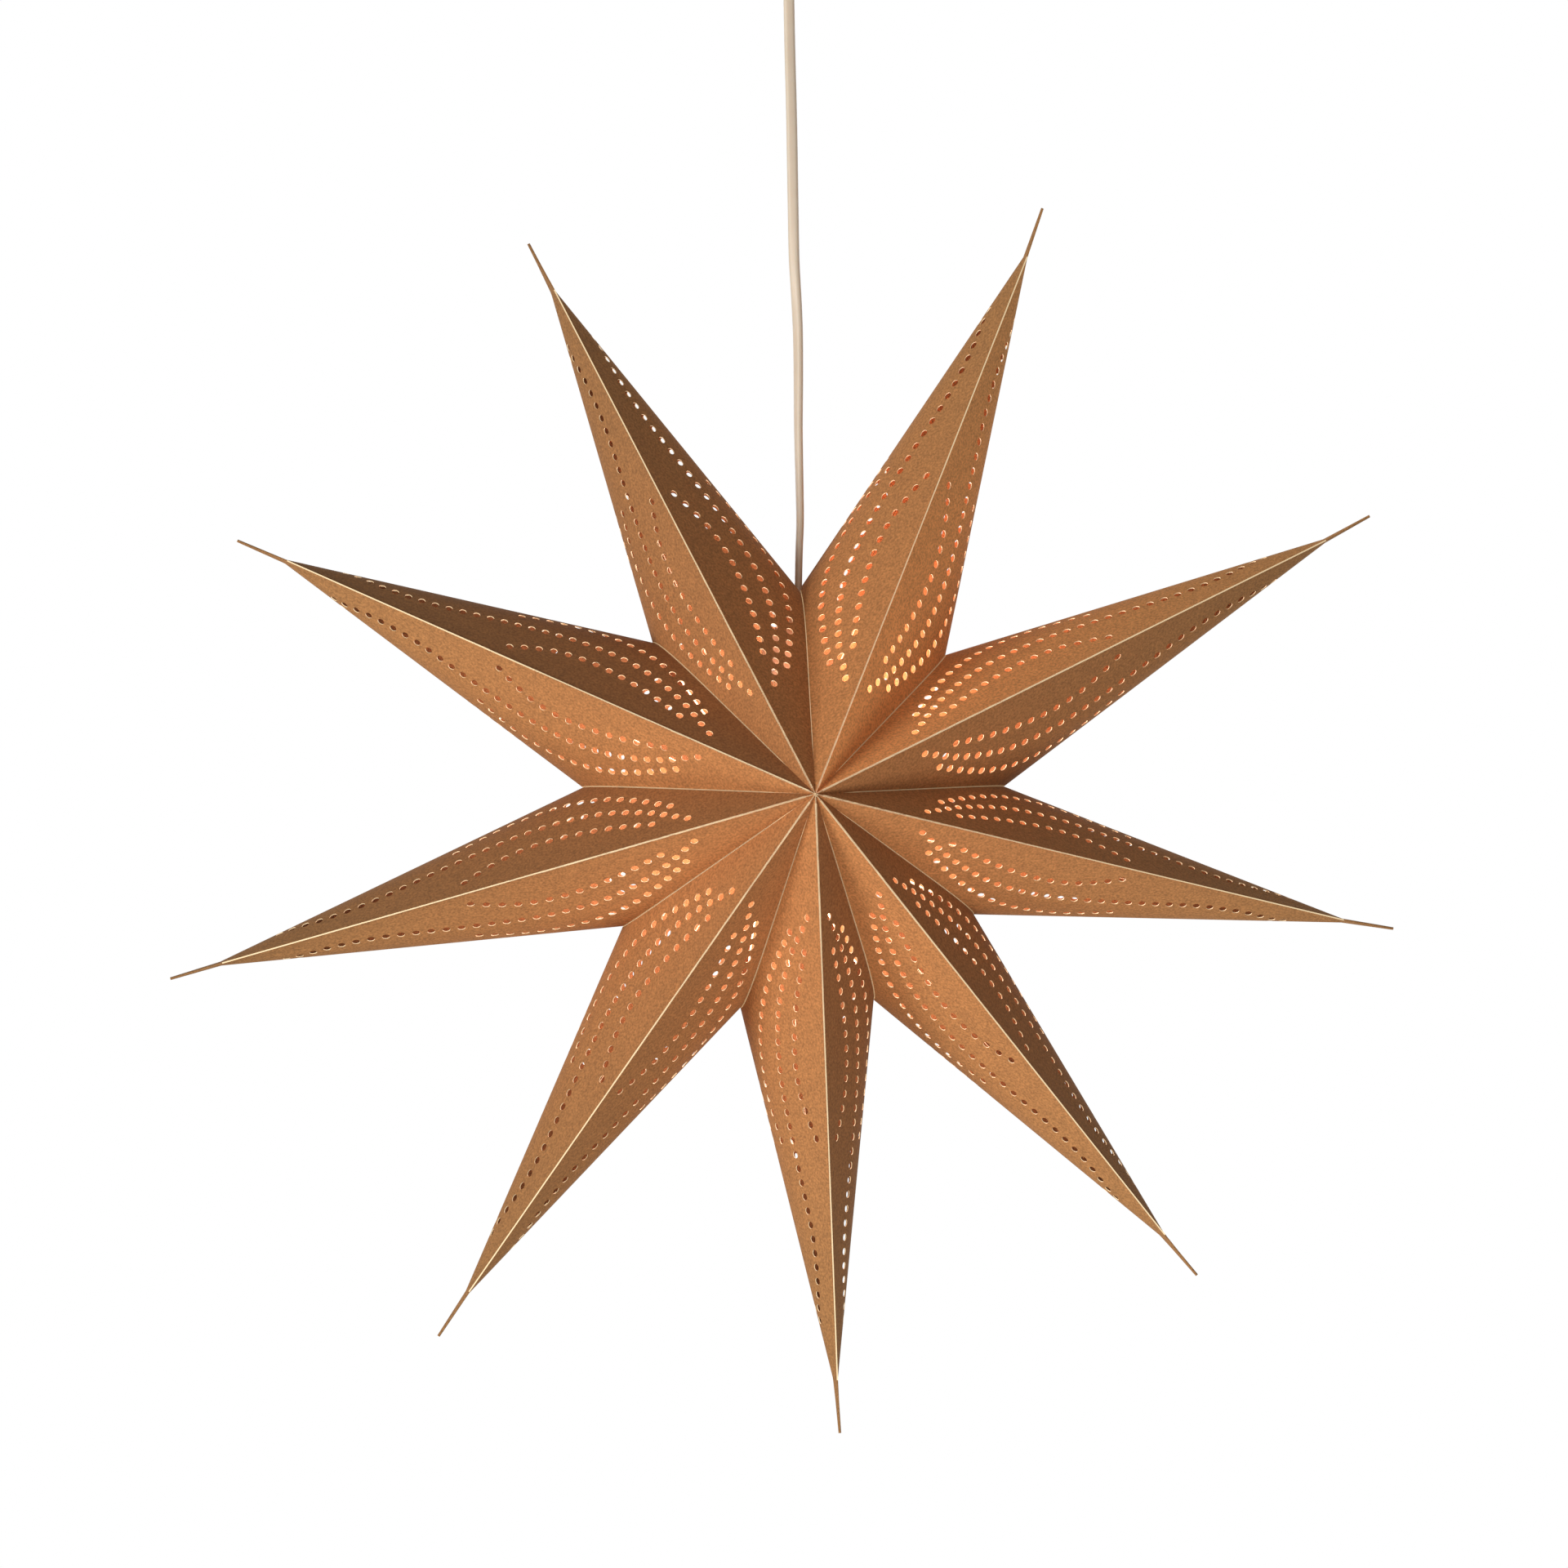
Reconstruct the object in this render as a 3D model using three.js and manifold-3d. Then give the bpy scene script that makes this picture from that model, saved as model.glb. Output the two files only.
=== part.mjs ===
// Paper star lantern: nine folded and glued paper points round a small lamp, hung on a flat flex
// from a ceiling cup. Millimetres, +Z up. The origin is on the ceiling face of the mounting strap,
// the star's front faces -Y, and +X is to the right of someone who looks at that front.

import * as THREE from 'three';
import { mergeVertices } from 'three/addons/utils/BufferGeometryUtils.js';
import Module from 'manifold-3d';

const wasm = await Module();
wasm.setup();

// Running and seating clearances
const touchGap = 0.3;       // between pieces that rest on, or are glued to, each other
const threadGap = 0.35;     // between a screw cap and the shell that it turns in
const overrun = 4;          // how far a cutting body runs past what it cuts

// Star: overall sizes
const starReach = 300;      // hub to the mean circle through the tips
const notchReach = 100.6;   // hub to the notch between two points
const halfDepth = 89;       // mid-plane to the front apex
const hubDrop = 450;        // ceiling face down to the hub
const hubShift = 2.4;       // the hub hangs this far to the right of the cord grip

// Star: the folded sheet of one point
const paper = 0.5;          // one layer of card
const innerFold = 0.15;     // half width of the fold inside a ridge
const flapWidth = 10;       // glue flap along each seam
const flapStart = 8;        // distance from the hub axis at which a flap begins
const pinchLength = 25;     // flattened, glued end of each point
const tipHeight = 1.6;      // height of the cut end of the pinched tip
const hubEye = 2.6;         // radius of the small eye where all the points meet
const sideBendShare = 0.45; // share of the seam's length that the unfolded side edge is bent over
const sideBendSteps = 6;

// Star: how the hand-closed star really lies, for points 1 to 9 clockwise from the top
const tipBearings = [67.2, 26.5, -11.6, -49.3, -85.8, -123.7, -164, -204.8, -244.4];
const notchBearings = [44.2, 4.4, -31.8, -67.9, -104.5, -143.9, -183.7, -228.3, -271.3];
const reachShares = [1.023, 1.027, 0.976, 0.984, 0.999, 1.015, 1.027, 0.972, 0.976];
const tipBends = [3.9, 2.6, 3.3, 0, 0.5, 0.3, 0.9, 1.9, 1.9];
const slitAngle = 1.6;      // degrees that each edge of the top closure stands off its seam plane

// Hook-and-loop dots of the top closure
const dotRadius = 4.5;
const dotThickness = 1;
const dotShare = 0.5;       // place along the straight seam, from the apex to its corner
const dotSides = 20;

// Flat twin flex, drawn as a round tube of the mean of its two widths
const cordRadius = 2.2;
const cordSides = 8;
const cordSteps = 44;
// Route from the grip to the lamp, as [right of the grip, below the ceiling]
const cordRoute = [
  [0, -54], [0, -63], [0.2, -76], [0.6, -95], [1.1, -114], [1.5, -133], [2, -163], [2.5, -190],
  [3.1, -202], [3.8, -214], [4.4, -229], [4.6, -251], [4.6, -273], [5.2, -303], [5.4, -317],
  [4.9, -332], [4.6, -347], [4.5, -355], [4.5, -364],
];

// Ceiling fitting
const strapLength = 74;
const strapWidth = 18;
const strapThickness = 1.5;
const earDrop = 16;         // how far the strap's ends are bent down
const strapHoleRadius = 2.4;
const strapHoleSpacing = 46;
const cupRadius = 40;
const cupHeight = 42;
const cupWall = 1.2;
const cupShoulder = 14;     // radius of the rounded lower edge
const cupHoleRadius = 9;
const cupScrewRadius = 1.5;
const cupScrewHead = 3;
const cupScrewHeadHeight = 2;
const cupScrewLevel = 9;    // below the ceiling face
const cupScrewReach = 4;    // how far a cup screw runs past the ear
const ballRadius = 7;
const ballDrop = 36;        // ceiling face to the centre that the pendant swings about
const seatDepth = 4.6;      // how far below that centre the ring holds the ball
const ringRadius = 12.5;
const ringChamfer = 1.6;
const neckRadius = 4.2;
const neckLength = 20;      // from the ball's centre to the neck's lower end
const gripBoreDepth = 8;
const gripScrewRadius = 1.1;
const gripScrewHead = 1.9;
const gripScrewHeadHeight = 1.2;
const gripScrewRise = 5;    // above the neck's lower end

// Fineness of the round shapes
const turnedSides = 36;
const smallSides = 16;
const ballSteps = 12;       // rings from a ball's neck to its pole
const roundingSteps = 5;    // rings of a rounded edge or seat
const poleAngle = 84;       // degrees up to the last ring before a ball's pole

// Terminal block and the two cores that reach it
const blockLength = 21;
const blockWidth = 10;
const blockHeight = 12;
const poleSpacing = 9;
const coreRadius = 1;
const coreBoreRadius = 1.5;
const coreInsert = 5;       // length of core inside the block
const coreEndSpacing = 3;   // between the cores where they leave the flex
const poleScrewRadius = 1.7;
const poleScrewLength = 3;

// Lamp holder, hung just under the notch that the flex enters by
const closureCover = 18.6;  // notch down to the top of the holder's cap
const holderLength = 46;    // top of the cap to the skirt's lower edge
const bulbSeat = 25;        // top of the cap to the bulb's tip
const capRadius = 17;
const capHeight = 20;
const holderWall = 1.6;
const capRounding = 4;
const skirtRadius = 14;
const collarRadius = 15.4;
const collarHeight = 3;
const nippleRadius = 4.4;
const nippleTopRadius = 3.4;
const nippleRise = 9;
const nippleShank = 3.2;
const nippleShankLength = 5;
const insertHeight = 8;
const insertRadius = 11.4;
const shellWall = 0.4;
const shellLength = 17;
const tongueLength = 11;
const tongueWidth = 4;
const tongueThickness = 0.5;

// Lamp bulb, golf-ball shape with the small screw cap
const bulbLength = 78;
const bulbRadius = 22.5;
const bulbNeckRadius = 8.2;
const bulbNeckLength = 12;
const glassWall = 0.8;
const glassShoulder = 60;   // degrees up to where the ball runs into the neck, at the most
const bulbCapRadius = 6.95;
const bulbCapLength = 21;
const bulbCapWall = 0.5;
const threadPitch = 2.82;
const threadDepth = 0.45;
const threadTurns = 5;
const insulatorHeight = 3;
const insulatorTopRadius = 3.6;
const tipContactRadius = 2.4;
const tipContactHeight = 1.4;
const tipContactShares = [0.8, 0.4]; // radii of its solder drop, half way down and at the end
const stemRadius = 1.6;
const stemLength = 36;
const flareHeight = 2;
const filamentRadius = 0.7;
const filamentSpread = 8;
const filamentRise = 22;
const filamentSteps = 28;
// One half of the filament's arch, as [across, up] shares of its spread and of half its rise
const filamentArchShares = [[1, 0.5], [1.2, 0], [0.8, -0.7], [0, -1]];

const degrees = Math.PI / 180;
const group = new THREE.Group();

// Levels of the lamp above the hub
const capTop = notchReach - closureCover;
const capBottom = capTop - capHeight;
const skirtBottom = capTop - holderLength;
const bulbTop = capTop - bulbSeat;
const bulbBottom = bulbTop - bulbLength;

function finish(colour, roughness, metalness = 0) {
  return new THREE.MeshStandardMaterial({ color: colour, roughness, metalness });
}

function place(name, geometry, material, x = 0, y = 0, z = 0) {
  const mesh = new THREE.Mesh(geometry, material);
  mesh.name = name;
  mesh.position.set(x, y, z);
  group.add(mesh);
  return mesh;
}

// Shared operations

// Welds the corners of a mesh and drops the triangles that have shrunk to nothing
function welded(geometry) {
  const bare = geometry.clone();
  bare.deleteAttribute('normal');
  bare.deleteAttribute('uv');
  const merged = mergeVertices(bare);
  const corners = merged.index.array;
  const kept = [];
  for (let k = 0; k < corners.length; k += 3) {
    const [a, b, c] = [corners[k], corners[k + 1], corners[k + 2]];
    if (a !== b && b !== c && c !== a) kept.push(a, b, c);
  }
  merged.setIndex(kept);
  return merged;
}

function solid(geometry) {
  const mesh = welded(geometry);
  return new wasm.Manifold(new wasm.Mesh({
    numProp: 3,
    vertProperties: new Float32Array(mesh.attributes.position.array),
    triVerts: new Uint32Array(mesh.index.array),
  }));
}

function shapeOf(body) {
  const mesh = body.getMesh();
  const geometry = new THREE.BufferGeometry();
  geometry.setAttribute('position', new THREE.BufferAttribute(mesh.vertProperties, 3));
  geometry.setIndex(new THREE.BufferAttribute(mesh.triVerts, 1));
  geometry.computeVertexNormals();
  return geometry;
}

// A revolve about Z. The profile is [radius, height], up the outside and down the inside.
function turned(profile, sides = turnedSides) {
  const points = profile.map(([radius, height]) => new THREE.Vector2(radius, height));
  const geometry = new THREE.LatheGeometry(points, sides);
  geometry.rotateX(Math.PI / 2);
  return geometry;
}

function closed(profile) {
  return [...profile, profile[0]];
}

function rod(radius, low, high, sides = smallSides) {
  return turned([[0, low], [radius, low], [radius, high], [0, high]], sides);
}

// Points on an arc about [radius, height], between two angles in degrees from the outward direction
function arc(centre, radius, from, to, steps) {
  const points = [];
  for (let k = 0; k <= steps; k += 1) {
    const angle = (from + (to - from) * k / steps) * degrees;
    points.push([centre[0] + radius * Math.cos(angle), centre[1] + radius * Math.sin(angle)]);
  }
  return points;
}

function roundTube(points, radius, sides, steps) {
  const section = new THREE.Shape();
  for (let k = 0; k < sides; k += 1) {
    const angle = 2 * Math.PI * k / sides;
    const corner = [radius * Math.cos(angle), radius * Math.sin(angle)];
    if (k === 0) section.moveTo(...corner);
    else section.lineTo(...corner);
  }
  section.closePath();
  const path = new THREE.CatmullRomCurve3(points);
  return new THREE.ExtrudeGeometry(section, { steps, bevelEnabled: false, extrudePath: path });
}

// One paper point, built along +X with its ridges in the XY plane

const seamCorner = notchReach / (1 - sideBendShare / 2);
const flapShift = flapWidth * Math.hypot(halfDepth, seamCorner) / halfDepth;

// The seam from the front apex to the back one, as [distance from the hub axis, depth]
function seamBend() {
  const start = new THREE.Vector2(seamCorner * (1 - sideBendShare), -halfDepth * sideBendShare);
  const corner = new THREE.Vector2(seamCorner, 0);
  const end = new THREE.Vector2(start.x, -start.y);
  const bend = new THREE.QuadraticBezierCurve(start, corner, end);
  return bend.getPoints(sideBendSteps).map((point) => [point.x, point.y]);
}

function onStraightSeam(out) {
  return [out, -halfDepth * (1 - out / seamCorner)];
}

function mirrored([out, depth]) {
  return [out, -depth];
}

const seam = [onStraightSeam(hubEye), ...seamBend(), mirrored(onStraightSeam(hubEye))];

// Rings of one side of a point, from the front ridge round to the back ridge: at the mouth, at the
// start of the pinched end and at the tip. side is 1 counter-clockwise and -1 clockwise.
function sideRings(reach, angle, side, bend) {
  const pinchReach = reach - pinchLength;
  const pinchHeight = halfDepth * pinchLength / reach;
  const pinchOffset = -pinchLength * Math.sin(bend * degrees * pinchReach / reach);
  const ridgeDepth = halfDepth * (1 - hubEye / reach);
  const mouth = seam.map(([out, depth]) => new THREE.Vector3(
    out * Math.cos(angle), depth, side * out * Math.sin(angle)));
  mouth.unshift(new THREE.Vector3(hubEye, -ridgeDepth, side * paper));
  mouth.push(new THREE.Vector3(hubEye, ridgeDepth, side * paper));
  const shares = [-1, ...seam.map(([, depth]) => depth / halfDepth), 1];
  const pinch = shares.map((share) => new THREE.Vector3(
    pinchReach, share * pinchHeight, pinchOffset + side * paper));
  const tip = shares.map((share) => new THREE.Vector3(reach, share * tipHeight / 2, side * paper));
  return [mouth, pinch, tip];
}

// Outward normal of the folded sheet along the line from mouth point k to the pinched end
function panelNormal([mouth, pinch], side, k) {
  const before = mouth[Math.max(k - 1, 0)];
  const after = mouth[Math.min(k + 1, mouth.length - 1)];
  const along = new THREE.Vector3().subVectors(after, before);
  const out = new THREE.Vector3().subVectors(pinch[k], mouth[k]);
  return new THREE.Vector3().crossVectors(out, along).normalize().multiplyScalar(side);
}

// The same side one layer of card further in, closed where the pinched end starts. ridgeWall is the
// card's depth under the ridge.
function innerRings(rings, side, ridgeWall) {
  const [mouth, pinch] = rings;
  const last = mouth.length - 1;
  const innerMouth = mouth.map((point, k) => (k > 0 && k < last
    ? new THREE.Vector3().copy(point).addScaledVector(panelNormal(rings, side, k), -paper)
    : new THREE.Vector3(point.x, point.y - Math.sign(point.y) * ridgeWall, side * innerFold)));
  const shrink = Math.abs(innerMouth[0].y / mouth[0].y);
  const innerPinch = pinch.map((point) => new THREE.Vector3(
    point.x, point.y * shrink, point.z - side * (paper - innerFold)));
  return [innerMouth, innerPinch];
}

// Rings with the mouth run on past the seams, so that the seam planes can cut it
function runOn([mouth, ...others]) {
  const longer = mouth.map((point, k) => {
    const back = new THREE.Vector3().subVectors(point, others[0][k]).normalize();
    return new THREE.Vector3().copy(point).addScaledVector(back, flapShift + overrun);
  });
  return [longer, ...others];
}

// A closed body through the rings of the two sides
function loft(left, right) {
  const rings = left.map((ring, k) => [...ring, ...[...right[k]].reverse()]);
  const count = rings[0].length;
  const half = count / 2;
  const corners = rings.flat().flatMap((point) => point.toArray());
  const faces = [];
  for (let ring = 0; ring + 1 < rings.length; ring += 1) {
    for (let k = 0; k < count; k += 1) {
      const next = (k + 1) % count;
      const [a, b] = [ring * count + k, ring * count + next];
      const [c, d] = [a + count, b + count];
      faces.push(a, c, b, b, c, d);
    }
  }
  const cap = (start, flip) => {
    for (let k = 0; k + 1 < half; k += 1) {
      const [a, b] = [start + k, start + k + 1];
      const [c, d] = [start + count - 1 - k, start + count - 2 - k];
      if (flip) faces.push(a, d, c, a, b, d);
      else faces.push(a, c, d, a, d, b);
    }
  };
  cap(0, true);
  cap((rings.length - 1) * count, false);
  const geometry = new THREE.BufferGeometry();
  geometry.setAttribute('position', new THREE.Float32BufferAttribute(corners, 3));
  geometry.setIndex(faces);
  return geometry;
}

// The space between the two seam planes of a point, each moved in by the same inset
function wedge(ccw, cw, inset) {
  const spread = Math.sin(ccw + cw);
  const apex = new THREE.Vector2(
    inset * (Math.cos(ccw) + Math.cos(cw)) / spread, inset * (Math.sin(ccw) - Math.sin(cw)) / spread);
  const far = 2 * starReach;
  const outline = new THREE.Shape([
    apex,
    new THREE.Vector2(apex.x + far * Math.cos(cw), apex.y - far * Math.sin(cw)),
    new THREE.Vector2(apex.x + far * Math.cos(ccw), apex.y + far * Math.sin(ccw)),
  ]);
  const depth = 2 * (halfDepth + overrun);
  const geometry = new THREE.ExtrudeGeometry(outline, { depth, bevelEnabled: false });
  geometry.rotateX(Math.PI / 2);
  geometry.translate(0, depth / 2, 0);
  return solid(geometry);
}

// What the glue flaps leave open round the hub axis, and the small eye at the apexes
function hubHollow() {
  const [, depth] = onStraightSeam(flapStart + flapShift);
  const inner = seamBend().map(([out, y]) => [out - flapShift, y]);
  const hollow = turned([[0, depth], [flapStart, depth], ...inner, [flapStart, -depth], [0, -depth]]);
  const eye = rod(hubEye, -halfDepth - overrun, halfDepth + overrun);
  return solid(hollow).add(solid(eye)).rotate([90, 0, 0]);
}

// Closure dot on the slit side of a flap, at the front or the back of the star
function dot(angle, side, facing) {
  const [out, depth] = onStraightSeam(seamCorner * dotShare);
  const disc = new THREE.CylinderGeometry(dotRadius, dotRadius, dotThickness, dotSides);
  disc.rotateX(Math.PI / 2);
  disc.translate(out - flapShift / 2, facing * Math.abs(depth), side * (touchGap + dotThickness) / 2);
  disc.rotateY(-side * angle);
  return disc;
}

// Clear ways through the closure for the flex, its nipple and the top of the lamp holder,
// in the star's own frame
function lampClearance() {
  const wide = capRadius + touchGap;
  const narrow = nippleRadius + 2 * touchGap;
  const top = capTop + touchGap;
  return turned([
    [0, 0], [wide, 0], [wide, top], [narrow, top], [narrow, capTop + nippleRise + touchGap],
    [cordRadius + touchGap, notchReach], [cordRadius + touchGap, notchReach + overrun],
    [0, notchReach + overrun],
  ], smallSides);
}

const lampX = hubShift + capTop * Math.cos(notchBearings[notchBearings.length - 1] * degrees);

function rayParts(index) {
  const bearing = tipBearings[index] * degrees;
  const count = tipBearings.length;
  const isFirst = index === 0;
  const isLast = index === count - 1;
  const turnBack = isFirst ? 360 : 0;
  const ccwNotch = (notchBearings[(index + count - 1) % count] + turnBack) * degrees;
  const cwNotch = notchBearings[index] * degrees;
  const ccw = ccwNotch - bearing - (isFirst ? slitAngle * degrees : 0);
  const cw = bearing - cwNotch - (isLast ? slitAngle * degrees : 0);
  return { bearing, ccw, cw, isFirst, isLast };
}

const hollowOfHub = hubHollow();

function ray(index) {
  const { bearing, ccw, cw, isFirst, isLast } = rayParts(index);
  const reach = starReach * reachShares[index];
  const left = sideRings(reach, ccw, 1, tipBends[index]);
  const right = sideRings(reach, cw, -1, tipBends[index]);
  const outside = solid(loft(runOn(left), runOn(right)));
  const ridgeWall = Math.max(
    paper / Math.abs(panelNormal(left, 1, 1).y), paper / Math.abs(panelNormal(right, -1, 1).y));
  const inside = solid(loft(
    runOn(innerRings(left, 1, ridgeWall)), runOn(innerRings(right, -1, ridgeWall))));
  const card = outside.intersect(wedge(ccw, cw, touchGap / 2));
  const hollow = inside.intersect(wedge(ccw, cw, touchGap / 2 + paper));
  let body = card.subtract(hollow).subtract(hollowOfHub);
  if (isFirst || isLast) {
    const clearance = lampClearance();
    clearance.translate(lampX - hubShift, 0, 0);
    clearance.rotateY(bearing);
    body = body.subtract(solid(clearance));
  }
  return shapeOf(body);
}

const kraft = finish(0x8a5a34, 0.85);

function placeOnStar(name, geometry, material, bearing) {
  const mesh = place(name, geometry, material, hubShift, 0, -hubDrop);
  mesh.rotation.y = -bearing;
}

tipBearings.forEach((_, index) => {
  placeOnStar(`ray_${index + 1}`, ray(index), kraft, rayParts(index).bearing);
});

// Hook dots on the last point and loop dots on the first, at the front and the back
const dotBlack = finish(0x2a2622, 0.95);
for (const [end, facing] of [['front', -1], ['back', 1]]) {
  const first = rayParts(0);
  const last = rayParts(tipBearings.length - 1);
  placeOnStar(`closure_loop_${end}`, dot(first.ccw, 1, facing), dotBlack, first.bearing);
  placeOnStar(`closure_hook_${end}`, dot(last.cw, -1, facing), dotBlack, last.bearing);
}

// Ceiling fitting

const zinc = finish(0xb8b8b4, 0.4, 0.9);
const cream = finish(0xe4ddcc, 0.45);
const strapHalf = strapLength / 2;

function cylinderAlongX(radius, from, to, y, z) {
  const cylinder = new THREE.CylinderGeometry(radius, radius, Math.abs(to - from), smallSides);
  cylinder.rotateZ(Math.PI / 2);
  cylinder.translate((from + to) / 2, y, z);
  return cylinder;
}

function strap() {
  const inner = strapHalf - strapThickness;
  const outline = new THREE.Shape([
    [-strapHalf, -earDrop], [-inner, -earDrop], [-inner, -strapThickness],
    [inner, -strapThickness], [inner, -earDrop], [strapHalf, -earDrop], [strapHalf, 0], [-strapHalf, 0],
  ].map(([x, z]) => new THREE.Vector2(x, z)));
  const geometry = new THREE.ExtrudeGeometry(outline, { depth: strapWidth, bevelEnabled: false });
  geometry.rotateX(Math.PI / 2);
  geometry.translate(0, strapWidth / 2, 0);
  let body = solid(geometry);
  for (const side of [-1, 1]) {
    const hole = rod(strapHoleRadius, -strapThickness - overrun, overrun);
    hole.translate(side * strapHoleSpacing / 2, 0, 0);
    const earHole = cylinderAlongX(cupScrewRadius + touchGap, side * (inner - overrun),
      side * (strapHalf + overrun), 0, -cupScrewLevel);
    body = body.subtract(solid(hole)).subtract(solid(earHole));
  }
  return shapeOf(body);
}
place('ceiling_strap', strap(), zinc);

const cupTop = -touchGap;
const cupFloor = cupTop - cupHeight;

function cup() {
  const centre = [cupRadius - cupShoulder, cupFloor + cupShoulder];
  const outside = arc(centre, cupShoulder, -90, 0, roundingSteps);
  const inside = arc(centre, cupShoulder - cupWall, 0, -90, roundingSteps);
  let body = solid(turned(closed([
    [cupHoleRadius, cupFloor], ...outside, [cupRadius, cupTop], [cupRadius - cupWall, cupTop],
    ...inside, [cupHoleRadius, cupFloor + cupWall],
  ])));
  for (const side of [-1, 1]) {
    body = body.subtract(solid(cylinderAlongX(cupScrewRadius + touchGap,
      side * (cupRadius - cupWall - overrun), side * (cupRadius + overrun), 0, -cupScrewLevel)));
  }
  return shapeOf(body);
}
place('ceiling_cup', cup(), cream);

// Screw with its head outside the cup wall and its shank through the wall and the ear
function cupScrew(side) {
  const headStart = cupRadius + touchGap;
  const screw = turned([
    [0, strapHalf - strapThickness - cupScrewReach],
    [cupScrewRadius, strapHalf - strapThickness - cupScrewReach], [cupScrewRadius, headStart],
    [cupScrewHead, headStart], [cupScrewHead, headStart + cupScrewHeadHeight / 2],
    [cupScrewHead / 2, headStart + cupScrewHeadHeight], [0, headStart + cupScrewHeadHeight],
  ], smallSides);
  screw.rotateY(side * Math.PI / 2);
  screw.translate(0, 0, -cupScrewLevel);
  return screw;
}
place('cup_screw_left', cupScrew(-1), zinc);
place('cup_screw_right', cupScrew(1), zinc);

// Ring that swivels on the cup's floor, with a round seat for the ball
const ballCentre = -ballDrop;
const ringBottom = cupFloor + cupWall + touchGap;
const seatRadius = ballRadius + touchGap;

function swivelRing() {
  const dip = Math.asin(seatDepth / seatRadius) / degrees;
  const seat = arc([0, ballCentre], seatRadius, 0, -dip, roundingSteps);
  const seatEnd = seat[seat.length - 1];
  return turned(closed([
    [seatEnd[0], ringBottom], [ringRadius - ringChamfer, ringBottom],
    [ringRadius, ringBottom + ringChamfer], [ringRadius, ballCentre - ringChamfer],
    [ringRadius - ringChamfer, ballCentre], ...seat,
  ]));
}
const nylon = finish(0xd8d2c4, 0.5);
place('swivel_ring', swivelRing(), nylon);

// Ball-headed cord grip with a bore for the flex, and its set screw
const neckEnd = ballCentre - neckLength;
const gripBore = cordRadius + touchGap;

function cordGrip() {
  const neckDip = Math.acos(neckRadius / ballRadius) / degrees;
  const body = solid(turned([
    [0, neckEnd + gripBoreDepth], [gripBore, neckEnd + gripBoreDepth], [gripBore, neckEnd],
    [neckRadius, neckEnd], ...arc([0, ballCentre], ballRadius, -neckDip, poleAngle, ballSteps),
    [0, ballCentre + ballRadius],
  ], turnedSides / 2));
  return shapeOf(body.subtract(solid(cylinderAlongX(gripScrewRadius + touchGap / 2,
    gripBore / 2, neckRadius + overrun, 0, neckEnd + gripScrewRise))));
}
place('cord_grip', cordGrip(), nylon);

function gripScrew() {
  const headStart = neckRadius + touchGap / 2;
  const screw = turned([
    [0, gripBore], [gripScrewRadius, gripBore], [gripScrewRadius, headStart],
    [gripScrewHead, headStart], [gripScrewHead, headStart + gripScrewHeadHeight],
    [0, headStart + gripScrewHeadHeight],
  ], smallSides);
  screw.rotateY(Math.PI / 2);
  screw.translate(0, 0, neckEnd + gripScrewRise);
  return screw;
}
place('grip_screw', gripScrew(), zinc);

// Terminal block under the strap, with two screws and the two cores of the flex
const blockTop = -strapThickness - touchGap;
const blockBottom = blockTop - blockHeight;

function terminalBlock() {
  const box = new THREE.BoxGeometry(blockLength, blockWidth, blockHeight);
  box.translate(0, 0, (blockTop + blockBottom) / 2);
  let body = solid(box);
  for (const side of [-1, 1]) {
    const bore = rod(coreBoreRadius, blockBottom - overrun, blockBottom + coreInsert + touchGap);
    bore.translate(side * poleSpacing / 2, 0, 0);
    const screwHole = rod(poleScrewRadius + touchGap / 2, blockWidth / 2 - poleScrewLength - touchGap,
      blockWidth / 2 + overrun);
    screwHole.rotateX(Math.PI / 2);
    screwHole.translate(side * poleSpacing / 2, 0, (blockTop + blockBottom) / 2);
    body = body.subtract(solid(bore)).subtract(solid(screwHole));
  }
  return shapeOf(body);
}
const blockWhite = finish(0xeeeae0, 0.5);
place('terminal_block', terminalBlock(), blockWhite);

const brass = finish(0xb9974e, 0.35, 0.9);
for (const [name, side] of [['blue', -1], ['brown', 1]]) {
  const screw = rod(poleScrewRadius, blockWidth / 2 - poleScrewLength, blockWidth / 2 - touchGap);
  screw.rotateX(Math.PI / 2);
  place(`terminal_screw_${name}`, screw, brass, side * poleSpacing / 2, 0, (blockTop + blockBottom) / 2);
  const low = ballCentre + ballRadius + 2 * touchGap;
  const high = blockBottom + coreInsert;
  const route = [
    new THREE.Vector3(side * poleSpacing / 2, 0, high),
    new THREE.Vector3(side * poleSpacing / 2, 0, blockBottom),
    new THREE.Vector3(side * (poleSpacing + coreEndSpacing) / 4, 0, (blockBottom + low) / 2),
    new THREE.Vector3(side * coreEndSpacing / 2, 0, low + coreRadius),
    new THREE.Vector3(side * coreEndSpacing / 2, 0, low),
  ];
  const colour = name === 'blue' ? 0x2f5f9e : 0x6b4226;
  place(`core_${name}`, roundTube(route, coreRadius, cordSides, cordSides), finish(colour, 0.5));
}

// Flat flex from the grip to the lamp
const flexWhite = finish(0xded7c6, 0.55);
const cordPoints = cordRoute.map(([x, z]) => new THREE.Vector3(x, 0, z));
place('cord', roundTube(cordPoints, cordRadius, cordSides, cordSteps), flexWhite);

// Lamp holder, hung from the flex under the closure flaps that rest on its cap

const holderWhite = finish(0xe9e5da, 0.4);
const lampZ = -hubDrop;

function placeInLamp(name, geometry, material) {
  place(name, geometry, material, lampX, 0, lampZ);
}

function nipple() {
  const bore = cordRadius + touchGap;
  const shankEnd = capTop - nippleShankLength;
  return turned(closed([
    [bore, shankEnd], [nippleShank, shankEnd], [nippleShank, capTop + touchGap],
    [nippleRadius, capTop + touchGap], [nippleRadius, capTop + nippleRise / 2],
    [nippleTopRadius, capTop + nippleRise], [bore, capTop + nippleRise],
  ]), turnedSides / 2);
}
placeInLamp('cord_nipple', nipple(), nylon);

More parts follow.
